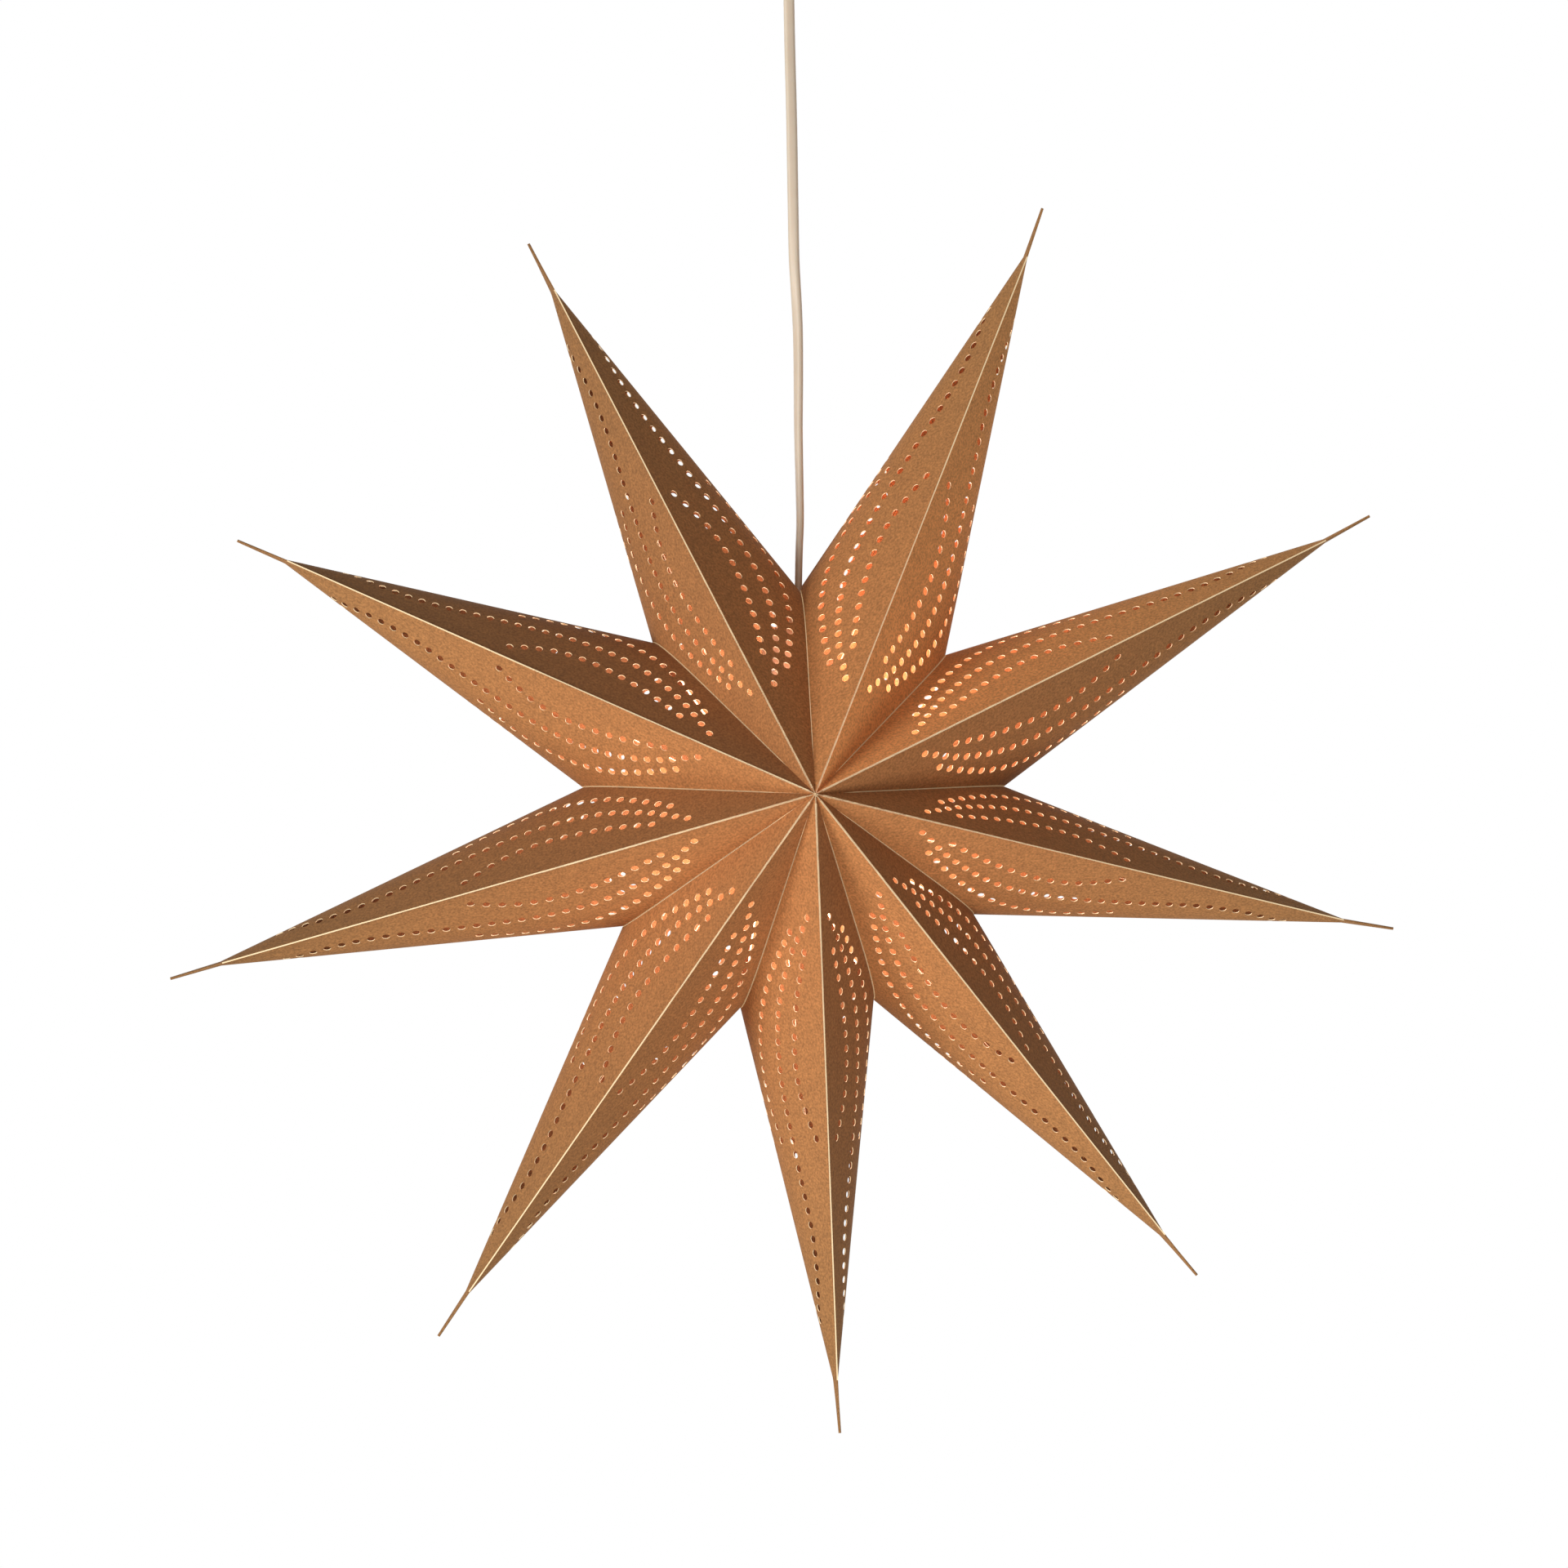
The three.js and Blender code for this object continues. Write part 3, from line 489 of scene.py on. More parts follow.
def slit_opening():
    """How far off the slit's plane the card stands at each ruling: shut, but for the flex."""
    near = np.clip(1 - np.abs(SEAM[:, 1]) / FLEX_ROOM_DEPTH, 0, 1)
    return np.radians(FLEX_ROOM_ANGLE * near)


print("rulings in half a sheet:", len(SEAM))

# %% Unfold the strips on the drawing board
BOARD_ANGLE = math.radians(20)


def third_corner(a, b, from_a, from_b):
    """The corner to the left of the line from a to b, at those distances from them."""
    along = (b - a) / np.linalg.norm(b - a)
    x = (from_a ** 2 - from_b ** 2 + np.dot(b - a, b - a)) / (2 * np.linalg.norm(b - a))
    y = math.sqrt(max(from_a ** 2 - x ** 2, 0))
    return a + x * along + y * np.array((-along[1], along[0]))


def unfold(mouth, pinch):
    """Mouth and pinch places on the board, both as rows of x and y."""
    def gap(a, b):
        return np.linalg.norm(a - b)

    flat_mouth = [np.zeros(2)]
    flat_pinch = [np.array((gap(mouth[0], pinch[0]), 0))]
    for k in range(1, len(mouth)):
        flat_mouth.append(third_corner(flat_mouth[-1], flat_pinch[-1],
                                       gap(mouth[k], mouth[k - 1]), gap(mouth[k], pinch[k - 1])))
        flat_pinch.append(third_corner(flat_mouth[-1], flat_pinch[-1],
                                       gap(pinch[k], mouth[k]), gap(pinch[k], pinch[k - 1])))
    return np.array(flat_mouth), np.array(flat_pinch)


board_mouth, board_pinch = half_rings(STAR_REACH, BOARD_ANGLE, 1, 0)
flat_mouth, flat_pinch = unfold(board_mouth, board_pinch)
sheet_size = np.ptp(np.vstack([flat_mouth, flat_pinch]), axis=0) * 1000
print("flat half sheet:", np.round(sheet_size, 1), "mm")

# %% [markdown]
# ## Rows of punched holes
#
# Each quarter face carries three rows of 3.6 mm holes: a long one that sweeps from the hub to the
# tip, a shorter one outside it and an inner one that closes the leaf shape. A row is a smooth line
# through a few places on the sheet, and its holes are equally far apart along it. The back rows lie
# a little off the front ones, so that only some holes line up and show the white room behind. Every
# hole is a ring of the same flat curve as the outline, and a filled curve leaves its rings open,
# which is much quicker than cutting hundreds of holes in a solid.

# %% Rows of holes as places on the sheet
HOLE_RADIUS = 0.0018
HOLE_SIDES = 12
BACK_ROWS_SHIFT = np.array((0.003, -0.009))
ROWS = (  # count, then places as (distance from the hub / reach, way round the seam to mid-depth)
    (30, ((0.19, 0.17), (0.25, 0.42), (0.33, 0.61), (0.43, 0.70), (0.55, 0.69), (0.67, 0.62),
          (0.75, 0.67), (0.80, 0.85))),
    (17, ((0.208, 0.386), (0.254, 0.574), (0.307, 0.73), (0.37, 0.842), (0.437, 0.90),
          (0.484, 0.895), (0.531, 0.857))),
    (14, ((0.243, 0.239), (0.306, 0.37), (0.371, 0.463), (0.417, 0.496), (0.465, 0.476),
          (0.512, 0.367), (0.535, 0.277))))


def on_board(radial, way):
    """Board place of a sheet place. way is 0 on the front ridge and 2 on the back one."""
    steps = np.linalg.norm(np.diff(board_mouth, axis=0), axis=1)
    gone = np.concatenate([[0], np.cumsum(steps)])
    target = way * gone[-1] / 2
    k = min(np.searchsorted(gone, target, side="right") - 1, len(steps) - 1)
    across = (target - gone[k]) / steps[k]

    def mix(ring):
        return ring[k] * (1 - across) + ring[k + 1] * across

    start, end = mix(board_mouth)[0], mix(board_pinch)[0]
    along = (radial * STAR_REACH - start) / (end - start)
    return mix(flat_mouth) * (1 - along) + mix(flat_pinch) * along


def hole_centres():
    """Board places of all the holes of half a sheet, front quarter and back quarter."""
    centres = []
    for count, places in ROWS:
        front = [on_board(radial, way) for radial, way in places]
        back = [on_board(radial, 2 - way) + BACK_ROWS_SHIFT for radial, way in places]
        centres.extend([*smooth_curve(front, count), *smooth_curve(back, count)])
    return centres


centres = hole_centres()
print("holes in half a sheet:", len(centres))

# %% The punched half sheet as a mesh
def punched_half():
    """The half sheet with its holes, creased along each ruling, as a flat mesh object."""
    drawing = bpy.data.curves.new("half_sheet", "CURVE")
    drawing.dimensions = "2D"
    drawing.fill_mode = "BOTH"
    front_ridge = flat_mouth[0] + (flat_pinch[0] - flat_mouth[0]) * RIDGE_FULL_FROM / STAR_REACH
    back_ridge = flat_mouth[-1] + (flat_pinch[-1] - flat_mouth[-1]) * RIDGE_FULL_FROM / STAR_REACH
    add_ring(drawing, [*flat_mouth, back_ridge, *flat_pinch[::-1], front_ridge])
    turns = [2 * math.pi * k / HOLE_SIDES for k in range(HOLE_SIDES)]
    for x, y in centres:
        add_ring(drawing, [(x + HOLE_RADIUS * math.cos(a), y + HOLE_RADIUS * math.sin(a))
                           for a in turns])
    sheet = link_up("half_sheet", drawing)
    take(sheet)
    bpy.ops.object.convert(target="MESH")
    bpy.ops.object.mode_set(mode="EDIT")
    bpy.ops.mesh.select_all(action="SELECT")
    bpy.ops.mesh.remove_doubles(threshold=SAME_PLACE)
    for start, end in zip(flat_mouth[1:-1], flat_pinch[1:-1]):
        slope = end - start
        bpy.ops.mesh.select_all(action="SELECT")
        bpy.ops.mesh.bisect(plane_co=(*start, 0), plane_no=(-slope[1], slope[0], 0),
                            threshold=SAME_PLACE)
    bpy.ops.object.mode_set(mode="OBJECT")
    return sheet


half_sheet = punched_half()
faces_up = sum(face.normal.z > 0 for face in half_sheet.data.polygons)
print("half sheet:", len(half_sheet.data.polygons), "faces,", faces_up, "of them facing up")

# %% [markdown]
# ## Where each corner of the mesh lies in its strip
#
# Folding keeps every place on its ruling: a corner that is 30% of the way across a flat strip and
# 60% of the way along it is at the same shares of the folded strip. So those shares are worked
# out once, and any half point then gets its shape from its own rulings.

# %% Shares of each corner along and across its strip
ON_RULING = 1e-9
SOLVER_STEPS = 12


def shares_on_board(places):
    """Strip number, share across and share along of each board place."""
    slopes = flat_pinch - flat_mouth
    left_of = [np.cross(slopes[k], places - flat_mouth[k]) > ON_RULING
               for k in range(1, len(slopes) - 1)]
    strip = np.sum(left_of, axis=0)
    a, b = flat_mouth[strip], flat_mouth[strip + 1]
    c, d = flat_pinch[strip], flat_pinch[strip + 1]
    across, along = np.full(len(places), 0.5), np.full(len(places), 0.5)
    for _ in range(SOLVER_STEPS):
        u, v = across[:, None], along[:, None]
        miss = (a * (1 - u) + b * u) * (1 - v) + (c * (1 - u) + d * u) * v - places
        by_u = (b - a) * (1 - v) + (d - c) * v
        by_v = (c - a) * (1 - u) + (d - b) * u
        area = np.cross(by_u, by_v)
        across = across - np.cross(miss, by_v) / area
        along = along - np.cross(by_u, miss) / area
    return strip, across, along


corners = np.array([v.co[:2] for v in half_sheet.data.vertices])
strip, across, along = shares_on_board(corners)
print("shares across", across.min().round(4), "to", across.max().round(4),
      "and along", along.min().round(4), "to", along.max().round(4))

# %% [markdown]
# ## Folding, gluing and pinching a point
#
# The two halves of a point are the same sheet, folded and mirrored. A narrow strip of worn card
# joins them along each ridge. At the mouth the sheet turns back into glue flaps that lie on the
# neighbours' flaps, and at the far end it is pressed flat and glued. Solidify then gives the card
# its thickness, inwards, and a second material to the cut walls of the holes.

# %% Fold half a point
CARD = 0.0004
PAINTED_LIGHT_TONES = (  # painted light and shade: how much lighter than the mean one each half sheet is painted, from point 1 to point 9
    (0.16, 0.72), (0.58, -0.12), (-0.14, 0.1), (-0.28, 0.1), (-0.36, 0.08), (-0.15, -0.03),
    (0.05, -0.3), (0.06, -0.38), (-0.12, -0.04))


def fold_half(index, side):
    """Half a point along +X with its glue flap and pinched end, as an open shell."""
    reach = STAR_REACH * REACH_SHARES[index]
    half_angle, flap_angle = half_angles(index)[side]
    mouth, pinch = half_rings(reach, half_angle, side, TIP_BENDS[index], -PAST_HUB[index])
    flap = flap_ring(mouth, flap_angle, side, np.ndim(half_angle) > 0)
    worn = WORN_SEAM / np.linalg.norm(pinch - mouth, axis=1)[:, None]
    start = mouth * (1 - worn) + pinch * worn
    u, v = across[:, None], along[:, None]
    near = start[strip] * (1 - u) + start[strip + 1] * u
    far = pinch[strip] * (1 - u) + pinch[strip + 1] * u
    places = near * (1 - v) + far * v
    at_full = np.abs(places[:, 0] - RIDGE_FULL_FROM) < RIDGE_FULL_WITHIN
    places[at_full & (np.abs(places[:, 2]) < RIDGE_HALF), 2] = side * RIDGE_HALF
    half = link_up(f"card_point_{index + 1}", half_sheet.data.copy())
    half.data.materials.append(kraft)
    half.data.materials.append(card_core)
    half.data.vertices.foreach_set("co", places.ravel())
    edit(half)
    if side < 0:
        bpy.ops.mesh.select_all(action="SELECT")
        bpy.ops.mesh.flip_normals()
    extrude_flap(half, start, mouth, flap)
    extrude_tip(half, reach, side)
    return half


def nearest(place, places):
    """Number of the place nearest to a corner, and how far off it is."""
    gaps = np.linalg.norm(places - np.array(place), axis=1)
    return gaps.argmin(), gaps.min()


def extrude_flap(half, start, mouth, flap):
    """Adds the worn fold along the seam, then the glue flap that turns back to the hub axis."""
    pick_rim(half, lambda place: nearest(place, start)[1] < SAME_PLACE)
    extrude_to(half, lambda place: mouth[nearest(place, start)[0]], 1)
    extrude_to(half, lambda place: flap[nearest(place, mouth)[0]])


def extrude_tip(half, reach, side):
    """Runs the end of the half sheet on over the pinched length to the cut tip."""
    pinch_depth = HALF_DEPTH * PINCH_LENGTH / reach

    def at_tip(place):
        inner = 1 - abs(place.y) / pinch_depth
        return (reach, place.y * TIP_HEIGHT / 2 / pinch_depth,
                side * (RIDGE_AT_PINCH + (TIP_HALF - RIDGE_AT_PINCH) * inner))

    pick_rim(half, lambda place: place.x > reach - PINCH_LENGTH - 10 * SAME_PLACE)
    extrude_to(half, at_tip)
    bpy.ops.object.mode_set(mode="OBJECT")


# %% Join the halves and close the ridges
NEAR_RIDGE = 0.0009
THIN_WITHIN = 0.002
THIN_SHARE = 0.1


def half_angles(index):
    """Angles from a point's middle to its edge and to its flap, by side.

    The two sides at the slit have an angle for each ruling, because the flex spreads them."""
    count = len(TIP_BEARINGS)
    turn_back = 360 if index == 0 else 0
    ccw = math.radians(NOTCH_BEARINGS[index - 1] + turn_back - TIP_BEARINGS[index])
    cw = math.radians(TIP_BEARINGS[index] - NOTCH_BEARINGS[index])
    angles = {1: (ccw, ccw), -1: (cw, cw)}
    if index == 0:
        angles[1] = (ccw - slit_opening(), ccw - math.radians(SLIT_ANGLE))
    if index == count - 1:
        angles[-1] = (cw - slit_opening(), cw - math.radians(SLIT_ANGLE))
    return angles


def is_ridge(edge, reach, depth_sign):
    """Whether an open edge runs along the front (-1) or the back (1) ridge."""
    line = [HALF_DEPTH * (1 - v.co.x / reach) for v in edge.verts]
    near = [abs(depth_sign * v.co.y - d) < NEAR_RIDGE for v, d in zip(edge.verts, line)]
    level = abs(edge.verts[0].co.x - edge.verts[1].co.x) < NEAR_RIDGE
    return edge.is_boundary and all(near) and not level


def make_point(index):
    """Point number index + 1 of the star, as one closed card shell along +X."""
    reach = STAR_REACH * REACH_SHARES[index]
    point = fold_half(index, 1)
    other = fold_half(index, -1)
    # Each half gets its painted light and shade as one tone on all its corners
    for tone, half in zip(PAINTED_LIGHT_TONES[index], (point, other)):
        attribute = half.data.attributes.new("painted_light_tone", "FLOAT", "POINT")
        attribute.data.foreach_set("value", np.full(len(half.data.vertices), tone, np.float32))
    take(point)
    other.select_set(True)
    bpy.ops.object.join()
    before = len(point.data.polygons)
    for depth_sign in (-1, 1):
        edit(point)
        pick(point, "edges", lambda e: is_ridge(e, reach, depth_sign))
        bpy.ops.mesh.bridge_edge_loops()
        bpy.ops.object.mode_set(mode="OBJECT")
    for face in point.data.polygons[before:]:
        face.material_index = int(face.center.x < reach - PINCH_LENGTH)
    thick = point.vertex_groups.new(name="full_thickness")
    for corner in point.data.vertices:
        thick.add([corner.index], THIN_SHARE if corner.co.x < THIN_WITHIN else 1, "REPLACE")
    apply_modifier(point, "SOLIDIFY", thickness=CARD, offset=-1, material_offset_rim=1,
                   vertex_group=thick.name)
    point.vertex_groups.clear()
    smooth(point, degrees=25)
    return point


def place_on_star(piece, bearing):
    """Turns a piece made along +X to its bearing round the hub, and moves it to the hub."""
    turn = math.radians(bearing)
    places = np.array([v.co for v in piece.data.vertices])
    x = places[:, 0] * math.cos(turn) - places[:, 2] * math.sin(turn)
    z = places[:, 0] * math.sin(turn) + places[:, 2] * math.cos(turn)
    turned = np.stack([x + HUB.x, places[:, 1], z + HUB.z], axis=1)
    piece.data.vertices.foreach_set("co", turned.ravel())
    piece.data.update()


# %% [markdown]
# ## All nine points
#
# Each point rides on its own body, because the star folds like a fan onto its lowest point. Card
# flattens as it folds, but each point here only gets its own copy of its mesh.


def squash_with_point(piece):
    """Gives a piece its own copy of its mesh."""
    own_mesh(piece)


points = []
for index, bearing in enumerate(TIP_BEARINGS):
    point = make_point(index)
    place_on_star(point, bearing)
    number = index + 1
    dress(point, "pendant" if number == 5 else f"ray_{number}", [f"ray_{number}"], "kraft_card")
    squash_with_point(point)
    points.append(point)
bpy.data.objects.remove(half_sheet)
print("card points:", sum(len(p.data.polygons) for p in points), "faces")

# %% [markdown]
# ## Plain finishes of the small pieces
#
# The lamp and the ceiling fitting are moulded plastic, rolled metal, fired ceramic and glass. Such
# a finish is one colour to a hurried eye, but a moulding has faint flow marks and a plated or
# rolled sheet has fine streaks, so each gets a mottle between two near colours and a grain in its
# bump.

# %% A finish with a mottle and a grain
def fine_finish(name, light, dark, mottle, grain, bump, stretch=(1, 1, 1), **sockets):
    """A material mottled between two colours. mottle and grain are sizes in millimetres."""
    material, tree = new_material(name)
    place = add_node(tree, "TexCoord").outputs["Object"]
    streaks = add_node(tree, "Mapping", {0: place, "Scale": stretch})
    patch = add_node(tree, "TexNoise", {
        "Vector": streaks.outputs[0], "Scale": 1000 / mottle, "Detail": 3})
    tone = add_node(tree, "Mix", {
        0: patch.outputs["Fac"], 6: linear(light), 7: linear(dark)}, data_type="RGBA")
    fine = add_node(tree, "TexNoise", {
        "Vector": streaks.outputs[0], "Scale": 1000 / grain, "Detail": 2})
    height = add_node(tree, "Bump", {
        "Height": fine.outputs["Fac"], "Strength": bump, "Distance": grain / 1000})
    shader = add_node(tree, "BsdfPrincipled", {
        "Base Color": tone.outputs[2], "Normal": height.outputs[0], **sockets})
    add_node(tree, "OutputMaterial", {0: shader.outputs[0]})
    return material


# %% Moulded plastics, ceramic and glass
# Moulded ABS, satin with a soft highlight
abs_cream = fine_finish("abs_moulded_cream", "ebe3d0", "e0d7c2", 14, 0.6, 0.06,
                        Roughness=0.38, IOR=1.54)
# Moulded PBT of lamp holders, a little chalky
pbt_white = fine_finish("pbt_moulded_white", "efebe0", "e4dfd2", 6, 0.5, 0.08,
                        Roughness=0.46, IOR=1.55)
# Natural nylon, waxy and slightly yellow
nylon = fine_finish("nylon_moulded_natural", "e2dccd", "d3ccba", 5, 0.5, 0.07,
                    Roughness=0.5, IOR=1.53)
# Fired steatite, matt with a fine sandy grain
steatite = fine_finish("steatite_fired", "d8d2c2", "c5bdab", 3, 0.35, 0.3,
                       Roughness=0.75, IOR=1.6)
# Black glass bead of the bulb's cap, glossy
vitrite = fine_finish("vitrite_black", "1c1a19", "292523", 4, 0.8, 0.05,
                      Roughness=0.14, IOR=1.55)
# Insulation of the two cores, smooth
core_blue = fine_finish("pvc_core_blue", "2f62a6", "28548f", 4, 0.4, 0.05,
                        Roughness=0.4, IOR=1.52)
core_brown = fine_finish("pvc_core_brown", "6e4527", "5d391f", 4, 0.4, 0.05,
                         Roughness=0.4, IOR=1.52)
# Hook-and-loop pile, matt black with tufts of half a millimetre
pile = fine_finish("hook_and_loop_black", "2c2926", "141211", 1.2, 0.5, 1.0, Roughness=0.95)
# Glass of the stem, clear and faintly green
stem_glass = fine_finish("soda_glass_clear", "e9f2ee", "dfeae6", 8, 2, 0.04,
                         Roughness=0.05, IOR=1.52, **{"Transmission Weight": 1.0})
# Opal glass that the light fills evenly
opal = fine_finish("opal_glass_lit", "fff4e4", "ffeeda", 12, 1, 0.03, Roughness=0.22, IOR=1.52,
                   **{"Emission Color": linear("ffdfb4"), "Emission Strength": 0.85})
# Phosphor skin of a filament strip, glowing yellow
phosphor = fine_finish("phosphor_skin_lit", "ffc35a", "f7ae3c", 1, 0.2, 0.3, Roughness=0.6,
                       **{"Emission Color": linear("ffc46a"), "Emission Strength": 2.0})

# %% Metals
# Zinc-plated steel with faint streaks from rolling
zinc = fine_finish("steel_zinc_plated", "c3c4c2", "a4a6a6", 2.5, 0.3, 0.12, (0.15, 1, 1),
                   Roughness=0.34, Metallic=1.0)
# Rolled brass of the contacts
brass = fine_finish("brass_rolled", "cfae62", "b3924a", 3, 0.3, 0.1, (1, 1, 0.2),
                    Roughness=0.3, Metallic=1.0)
# Rolled aluminium of the bulb's cap
aluminium = fine_finish("aluminium_rolled", "cfcfca", "b4b4b0", 2, 0.25, 0.12, (1, 1, 0.3),
                        Roughness=0.32, Metallic=1.0)
# Solder drop, dull and slightly lumpy
solder = fine_finish("solder_tin", "b9bab6", "989a98", 0.8, 0.4, 0.4, Roughness=0.42, Metallic=1.0)

KEPT_NODES = {
    "ceiling_strap": zinc, "terminal_block": pbt_white, "terminal_screw_blue": brass,
    "terminal_screw_brown": brass, "core_blue": core_blue, "core_brown": core_brown,
    "socket_insert": steatite, "centre_contact": brass, "bulb_filament": phosphor}
for name, material in KEPT_NODES.items():
    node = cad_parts[name]
    node.data.materials.clear()
    node.data.materials.append(material)
print("rigid nodes kept with a finish of their own:", len(KEPT_NODES))

# %% [markdown]
# ## Round pieces
#
# Most of the lamp and of the ceiling fitting is turned or moulded round. Such a piece starts as one
# corner, which is extruded along half of its section, and the section is then spun about a line. It
# could be a stack of cylinders too, but a section gives every step, wall and rounding at once.

# %% Spinning a section
SPIN_STEPS = 48
RIB_MARGIN = 0.0003
BORE_RADIUS = 0.0025
BORE_WIDE = 0.00285  # half widths of the oval bore, for the two sides of the flex
BORE_NARROW = 0.002
LAMP_CENTRE = Vector((0.00426, 0, HUB.z))


def arc(centre, radius, start, end, steps=8):
    """Places on an arc of a section, between two angles in degrees from the outward direction."""
    angles = [math.radians(start + (end - start) * k / steps) for k in range(steps + 1)]
    return [(centre[0] + radius * math.cos(a), centre[1] + radius * math.sin(a)) for a in angles]


def drawn_line(name, section):
    """An open line of edges in edit mode, along (radius, level) places in millimetres."""
    start_clean()
    bpy.ops.mesh.primitive_plane_add(size=0.001)
    piece = bpy.context.object
    piece.name = name
    bpy.context.tool_settings.mesh_select_mode = [True, False, False]
    bpy.ops.object.mode_set(mode="EDIT")
    bpy.ops.mesh.select_all(action="SELECT")
    bpy.ops.mesh.merge(type="CENTER")
    places = [Vector((radius, 0, level)) / 1000 for radius, level in section]
    bpy.ops.transform.translate(value=places[0])
    for start, end in zip(places, places[1:]):
        bpy.ops.mesh.extrude_vertices_move(TRANSFORM_OT_translate={"value": end - start})
    return piece


def close_up(piece, place):
    """Merges what lies together, turns the faces outwards and moves the open piece to its place."""
    bpy.ops.mesh.select_all(action="SELECT")
    bpy.ops.mesh.remove_doubles(threshold=2 * SAME_PLACE)
    bpy.ops.mesh.normals_make_consistent(inside=False)
    bpy.ops.object.mode_set(mode="OBJECT")
    piece.data.transform(place)
    smooth(piece)


def spun(name, section, place, steps=SPIN_STEPS):
    """A round piece from its half section, moved to its place by a matrix."""
    piece = drawn_line(name, section)
    bpy.ops.mesh.select_all(action="SELECT")
    bpy.ops.mesh.spin(steps=steps, angle=2 * math.pi, center=(0, 0, 0), axis=(0, 0, 1))
    close_up(piece, place)
    return piece


def cut(piece, *cutters):
    """Takes the cutters out of a piece."""
    for cutter in cutters:
        apply_modifier(piece, "BOOLEAN", object=cutter, operation="DIFFERENCE", solver="EXACT")
        bpy.data.objects.remove(cutter)


def drill(radius, length, centre):
    """A cutter for a hole along X."""
    start_clean()
    bpy.ops.mesh.primitive_cylinder_add(vertices=24, radius=radius, depth=length, location=centre,
                                        rotation=(0, math.pi / 2, 0))
    return bpy.context.object


def raise_ribs(piece, low, high, height):
    """Raises every second upright outer face between two levels of the lamp into a grip rib."""
    def is_rib(face):
        centre = face.calc_center_median() - LAMP_CENTRE
        number = math.degrees(math.atan2(centre.y, centre.x)) * SPIN_STEPS / 360 - 0.5
        upright = abs(face.normal.z) < 0.1 and face.normal.dot(centre) > 0
        return upright and low < centre.z < high and int(round(number)) % 2 == 0

    edit(piece)
    pick(piece, "faces", is_rib)
    bpy.ops.mesh.inset(thickness=RIB_MARGIN, depth=height, use_individual=True)
    bpy.ops.object.mode_set(mode="OBJECT")


def squeeze_bore(piece, centre, across, deep):
    """Makes the round bore of a piece oval, for the flat flex, from half sizes across and deep."""
    for corner in piece.data.vertices:
        x, y = corner.co.x - centre.x, corner.co.y - centre.y
        if math.hypot(x, y) < 1.02 * BORE_RADIUS:
            corner.co.x = centre.x + x * across / BORE_RADIUS
            corner.co.y = centre.y + y * deep / BORE_RADIUS


# %% [markdown]
# ## Ceiling cup and its screws
#
# A cream plastic cup hides the connection. It's a thin shell with a rounded lower edge, a bead
# round its mouth and a raised lip round the hole for the cord grip. Two slotted screws hold it to
# the ears of the zinc-plated strap.

# %% Ceiling cup
CUP_RADIUS = 0.040
CUP_SCREW_LEVEL = -0.009
CUP_SCREW_HOLE = 0.0018

cup = spun("ceiling_cup_shell", [
    (9, -42.3), (9, -42.9), (9.5, -43.1), (10.6, -43.1), (11.2, -42.3),
    *arc((26, -28.3), 14, -90, 0, 12), (40, -2.2), (40.5, -1.9), (40.7, -1.2), (40.5, -0.5),
    (40.1, -0.3), (38.8, -0.3), *arc((26, -28.3), 12.8, 0, -90, 12), (9, -41.1), (9, -42.3)],
    Matrix(), 72)
cut(cup, *[drill(CUP_SCREW_HOLE, 0.01, (side * CUP_RADIUS, 0, CUP_SCREW_LEVEL))
           for side in (1, -1)])
dress(cup, "ceiling_fitting", ["ceiling_cup"], "cup_cream", abs_cream)
print("ceiling cup:", len(cup.data.polygons), "faces")

# %% Swivel ring with its round seat
swivel = spun("seated_swivel_ring", [
    (7.3, -36), (12.1, -36), (12.5, -36.4), (12.5, -39.2), (10.9, -40.8), (6.3, -40.8),
    *arc((0, -36), 7.3, -38, 0)], Matrix())
dress(swivel, "swivel_ring", ["swivel_ring"], "nylon_cream", nylon)

# %% Slotted screws
SCREW_PITCH = 0.6
SCREW_ROOT = 0.82  # share of the shank's radius that is left between the thread rings
SLOT_WIDTH = 0.28  # shares of the head's radius, and for the depth of its height
SLOT_LENGTH = 3
SLOT_DEPTH = 1.1


def slotted_screw(name, shank, head, start, shoulder, end, place):
    """A screw along Z with rolled thread rings, a domed head and a slot. Sizes in millimetres."""
    rings = []
    level = start + shank * 0.4
    while level + 0.7 < shoulder - 1:
        rings += [(shank * SCREW_ROOT, level), (shank, level + 0.25), (shank, level + 0.35)]
        level += SCREW_PITCH
    screw = spun(name, [
        (0, start), (shank * 0.7, start), *rings, (shank, shoulder), (head, shoulder),
        (head, (shoulder + end) / 2), (head * 0.86, end - (end - shoulder) * 0.2),
        (head * 0.55, end), (0, end)], Matrix(), 24)
    start_clean()
    slot = Vector((head * SLOT_WIDTH, head * SLOT_LENGTH, (end - shoulder) * SLOT_DEPTH)) / 1000
    bpy.ops.mesh.primitive_cube_add(size=1, location=(0, 0, end / 1000), scale=slot)
    cut(screw, bpy.context.object)
    screw.data.transform(place)
    smooth(screw)
    return screw


for side, name in ((-1, "left"), (1, "right")):
    along_x = (Matrix.Translation((0, 0, CUP_SCREW_LEVEL))
               @ Matrix.Rotation(side * math.pi / 2, 4, "Y"))
    cup_screw = slotted_screw(f"slotted_cup_screw_{name}", 1.5, 3, 31.5, 40.9, 42.9, along_x)
    dress(cup_screw, "ceiling_fitting", [f"cup_screw_{name}"], "zinc_steel", zinc)

# %% [markdown]
# ## Cord grip
#
# The pendant hangs from a nylon ball that rests in the swivel ring. The flex enters the oval bore
# in its neck, and a small screw from the side clamps it.

# %% Ball-headed grip and its set screw
GRIP_SCREW_LEVEL = -0.051

